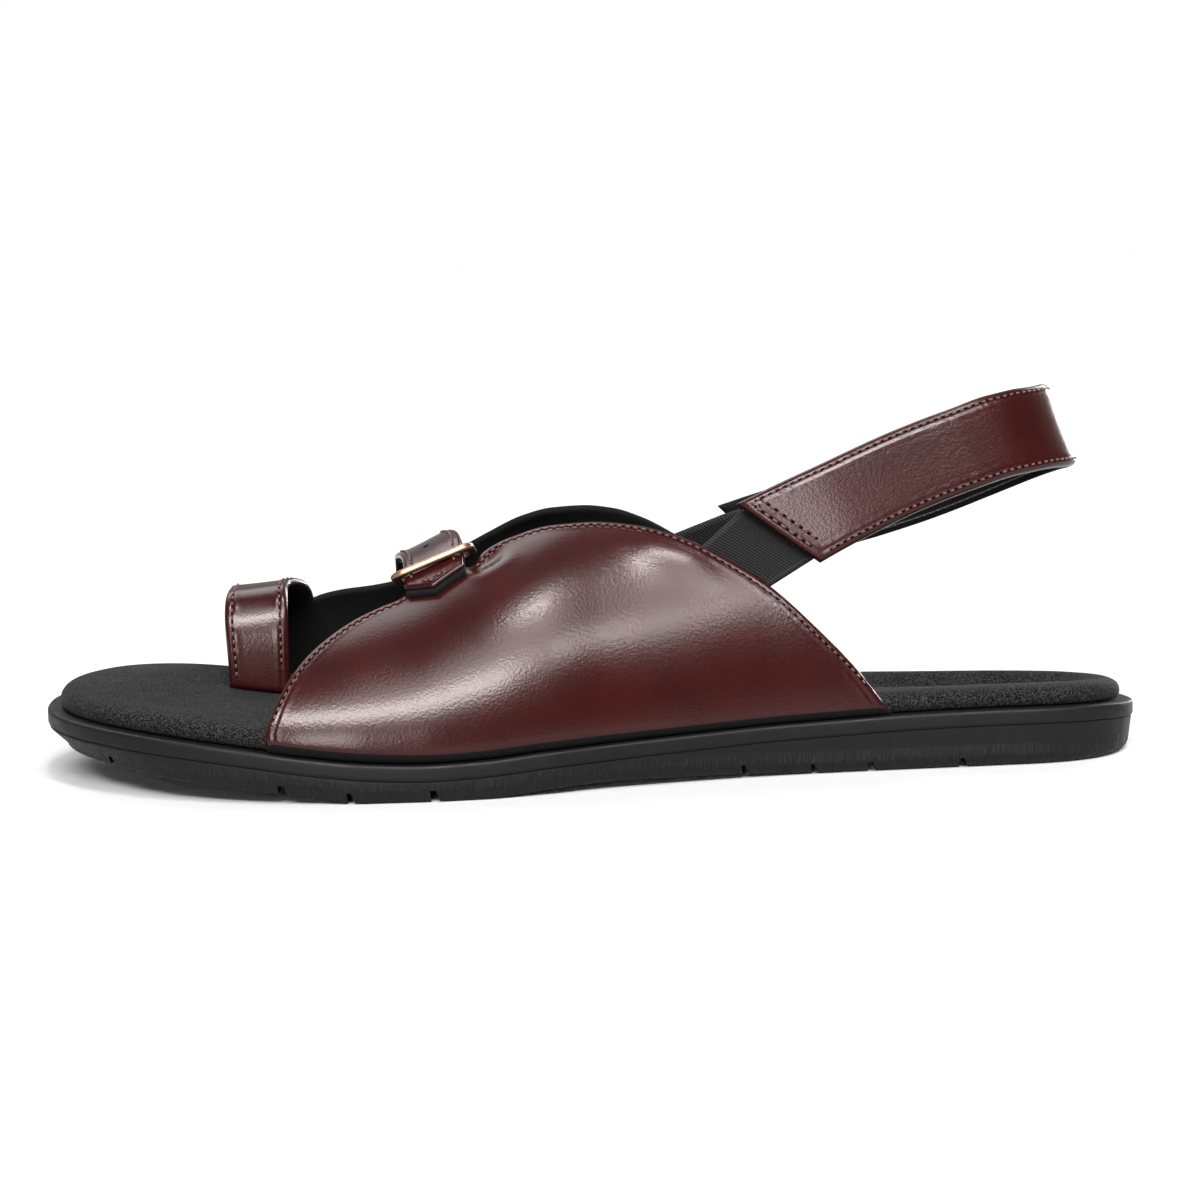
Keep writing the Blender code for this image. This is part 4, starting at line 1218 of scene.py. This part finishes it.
def webbing_material():
    made = Shader("black_webbing", (0.007, 0.007, 0.0073), 0.75, Sheen_Weight=0.02, IOR=1.25)
    selvedge = made.ranged(made.off_seam(1.1), 0, 0.35, 0.6, 0)
    fleck = made.maths("ADD", made.maths("MULTIPLY", made.noise(2400), 0.6), selvedge)
    made.colour(fleck, (0.003, 0.003, 0.0033), (0.021, 0.021, 0.0215))
    made.bump(made.noise(3200, 2), 0.4, 0.0002)
    return made.material


def thread_material(name, colour):
    made = Shader(name, colour, 0.55, Sheen_Weight=0.1)
    made.bump(made.noise(5000, 1), 0.4, 0.0001)
    return made.material


# A hole as a flat dark disc with no reflection: painted shade for its hollow
def hole_shade_material():
    made = Shader("hole_shade", (0.004, 0.002, 0.002), 0.9, Specular_IOR_Level=0)
    made.rough(0.85, 0.95, 800)
    return made.material


# Studio

CAMERA_SPOT = (-0.05225, -0.68587, 0.13292)
CAMERA_TARGET = (0.0022, 0.006, 0.04155)
CAMERA_LENS = 79
CAMERA_ROLL = -1  # the photo's shoe is tipped forward by this much, and this one stands level
# Lights: name, bearing, height and softness in degrees, and strength. The first three are the long key box.
LIGHTS = (
    ("key_toe", -24, 39, 13, 1.85),
    ("key_middle", -8, 39, 13, 1.85),
    ("key_heel", 8, 39, 13, 1.85),
    ("key_far", 35, 42, 10, 0.8),
    ("key_low", -13, 13, 14, 1.1),
    ("scrim_toe", -6, 54, 22, 0.6),
    ("scrim_heel", 22, 54, 22, 0.6),
    ("side_low", 28, 48, 14, 0.2),
    ("side_high", 28, 64, 16, 0.4),
    ("side_core", 19, 73, 7, 1.3),
    ("strip_low", 140, 8, 18, 1.4),
    ("strip_high", 140, 26, 18, 1),
    ("back", -159, 50, 35, 1),
)


def aimed(made, spot, target):
    made.location = Vector(spot)
    made.rotation_euler = (Vector(target) - Vector(spot)).to_track_quat("-Z", "Y").to_euler()


def add_sun(name, bearing, height, softness, strength):
    """A far, round light. bearing is in degrees round from the camera's side, towards the heel."""
    turn, rise = math.radians(bearing), math.radians(height)
    lamp = bpy.data.lights.new(name, "SUN")
    lamp.angle = math.radians(softness)
    lamp.energy = strength
    made = bpy.data.objects.new(name, lamp)
    away = (math.sin(turn) * math.cos(rise), -math.cos(turn) * math.cos(rise), math.sin(rise))
    aimed(made, away, (0, 0, 0))
    bpy.context.scene.collection.objects.link(made)


def make_world(front, back):
    """A studio that lights the shoe more from behind than from in front. The camera sees plain white."""
    world = bpy.data.worlds.new("studio")
    world.use_nodes = True
    made = Nodes(world.node_tree)
    light = made.tree.nodes["Background"]
    light.inputs["Color"].default_value = (1, 1, 1, 1)
    plain = made.node("ShaderNodeBackground", Color=(1, 1, 1, 1))
    split = made.node("ShaderNodeSeparateXYZ")
    made.link(made.node("ShaderNodeTexCoord").outputs["Generated"], split.inputs[0])
    made.link(made.ranged(split.outputs["Y"], -0.5, 0.6, front, back), light.inputs["Strength"])
    choice = made.node("ShaderNodeMixShader")
    made.link(made.node("ShaderNodeLightPath").outputs["Is Camera Ray"], choice.inputs[0])
    made.link(light.outputs[0], choice.inputs[1])
    made.link(plain.outputs[0], choice.inputs[2])
    made.link(choice.outputs[0], made.tree.nodes["World Output"].inputs["Surface"])
    bpy.context.scene.world = world


def make_studio():
    scene = bpy.context.scene
    scene.view_settings.view_transform = "Standard"
    make_world(front=0.03, back=0.35)

    bpy.ops.mesh.primitive_plane_add(size=60, location=(0, 0, 0))
    floor = bpy.context.active_object
    floor.name = "studio_floor"
    floor.data.materials.append(Shader("studio_floor", (0.41, 0.41, 0.41), 0.9).material)

    for light in LIGHTS:
        add_sun(*light)

    lens = bpy.data.cameras.new("photo_view")
    lens.lens = CAMERA_LENS
    lens.sensor_width = 36
    camera = bpy.data.objects.new("photo_view", lens)
    aimed(camera, CAMERA_SPOT, CAMERA_TARGET)
    camera.rotation_euler.rotate_axis("Z", math.radians(CAMERA_ROLL))
    scene.collection.objects.link(camera)
    scene.camera = camera


def main():
    lining = lining_material()
    hide = [leather_material(), lining]
    sewing = [thread_material("maroon_thread", (0.07, 0.02, 0.019)), hole_shade_material()]
    black_sewing = [thread_material("black_thread", (0.02, 0.02, 0.021))] * 2
    webbing = webbing_material()
    make_sole(rubber_material())
    make_footbed(nubuck_material())
    make_lateral_panel(hide, sewing)
    make_medial_panel(hide, sewing)
    make_strap_pad(lining)
    make_buckle(metal_material())
    make_elastic("elastic_lateral_band", "elastic_lateral", -1, webbing)
    make_elastic("elastic_medial_band", "elastic_medial", 1, webbing)
    make_heel_strap(hide, sewing, black_sewing)
    make_studio()


main()
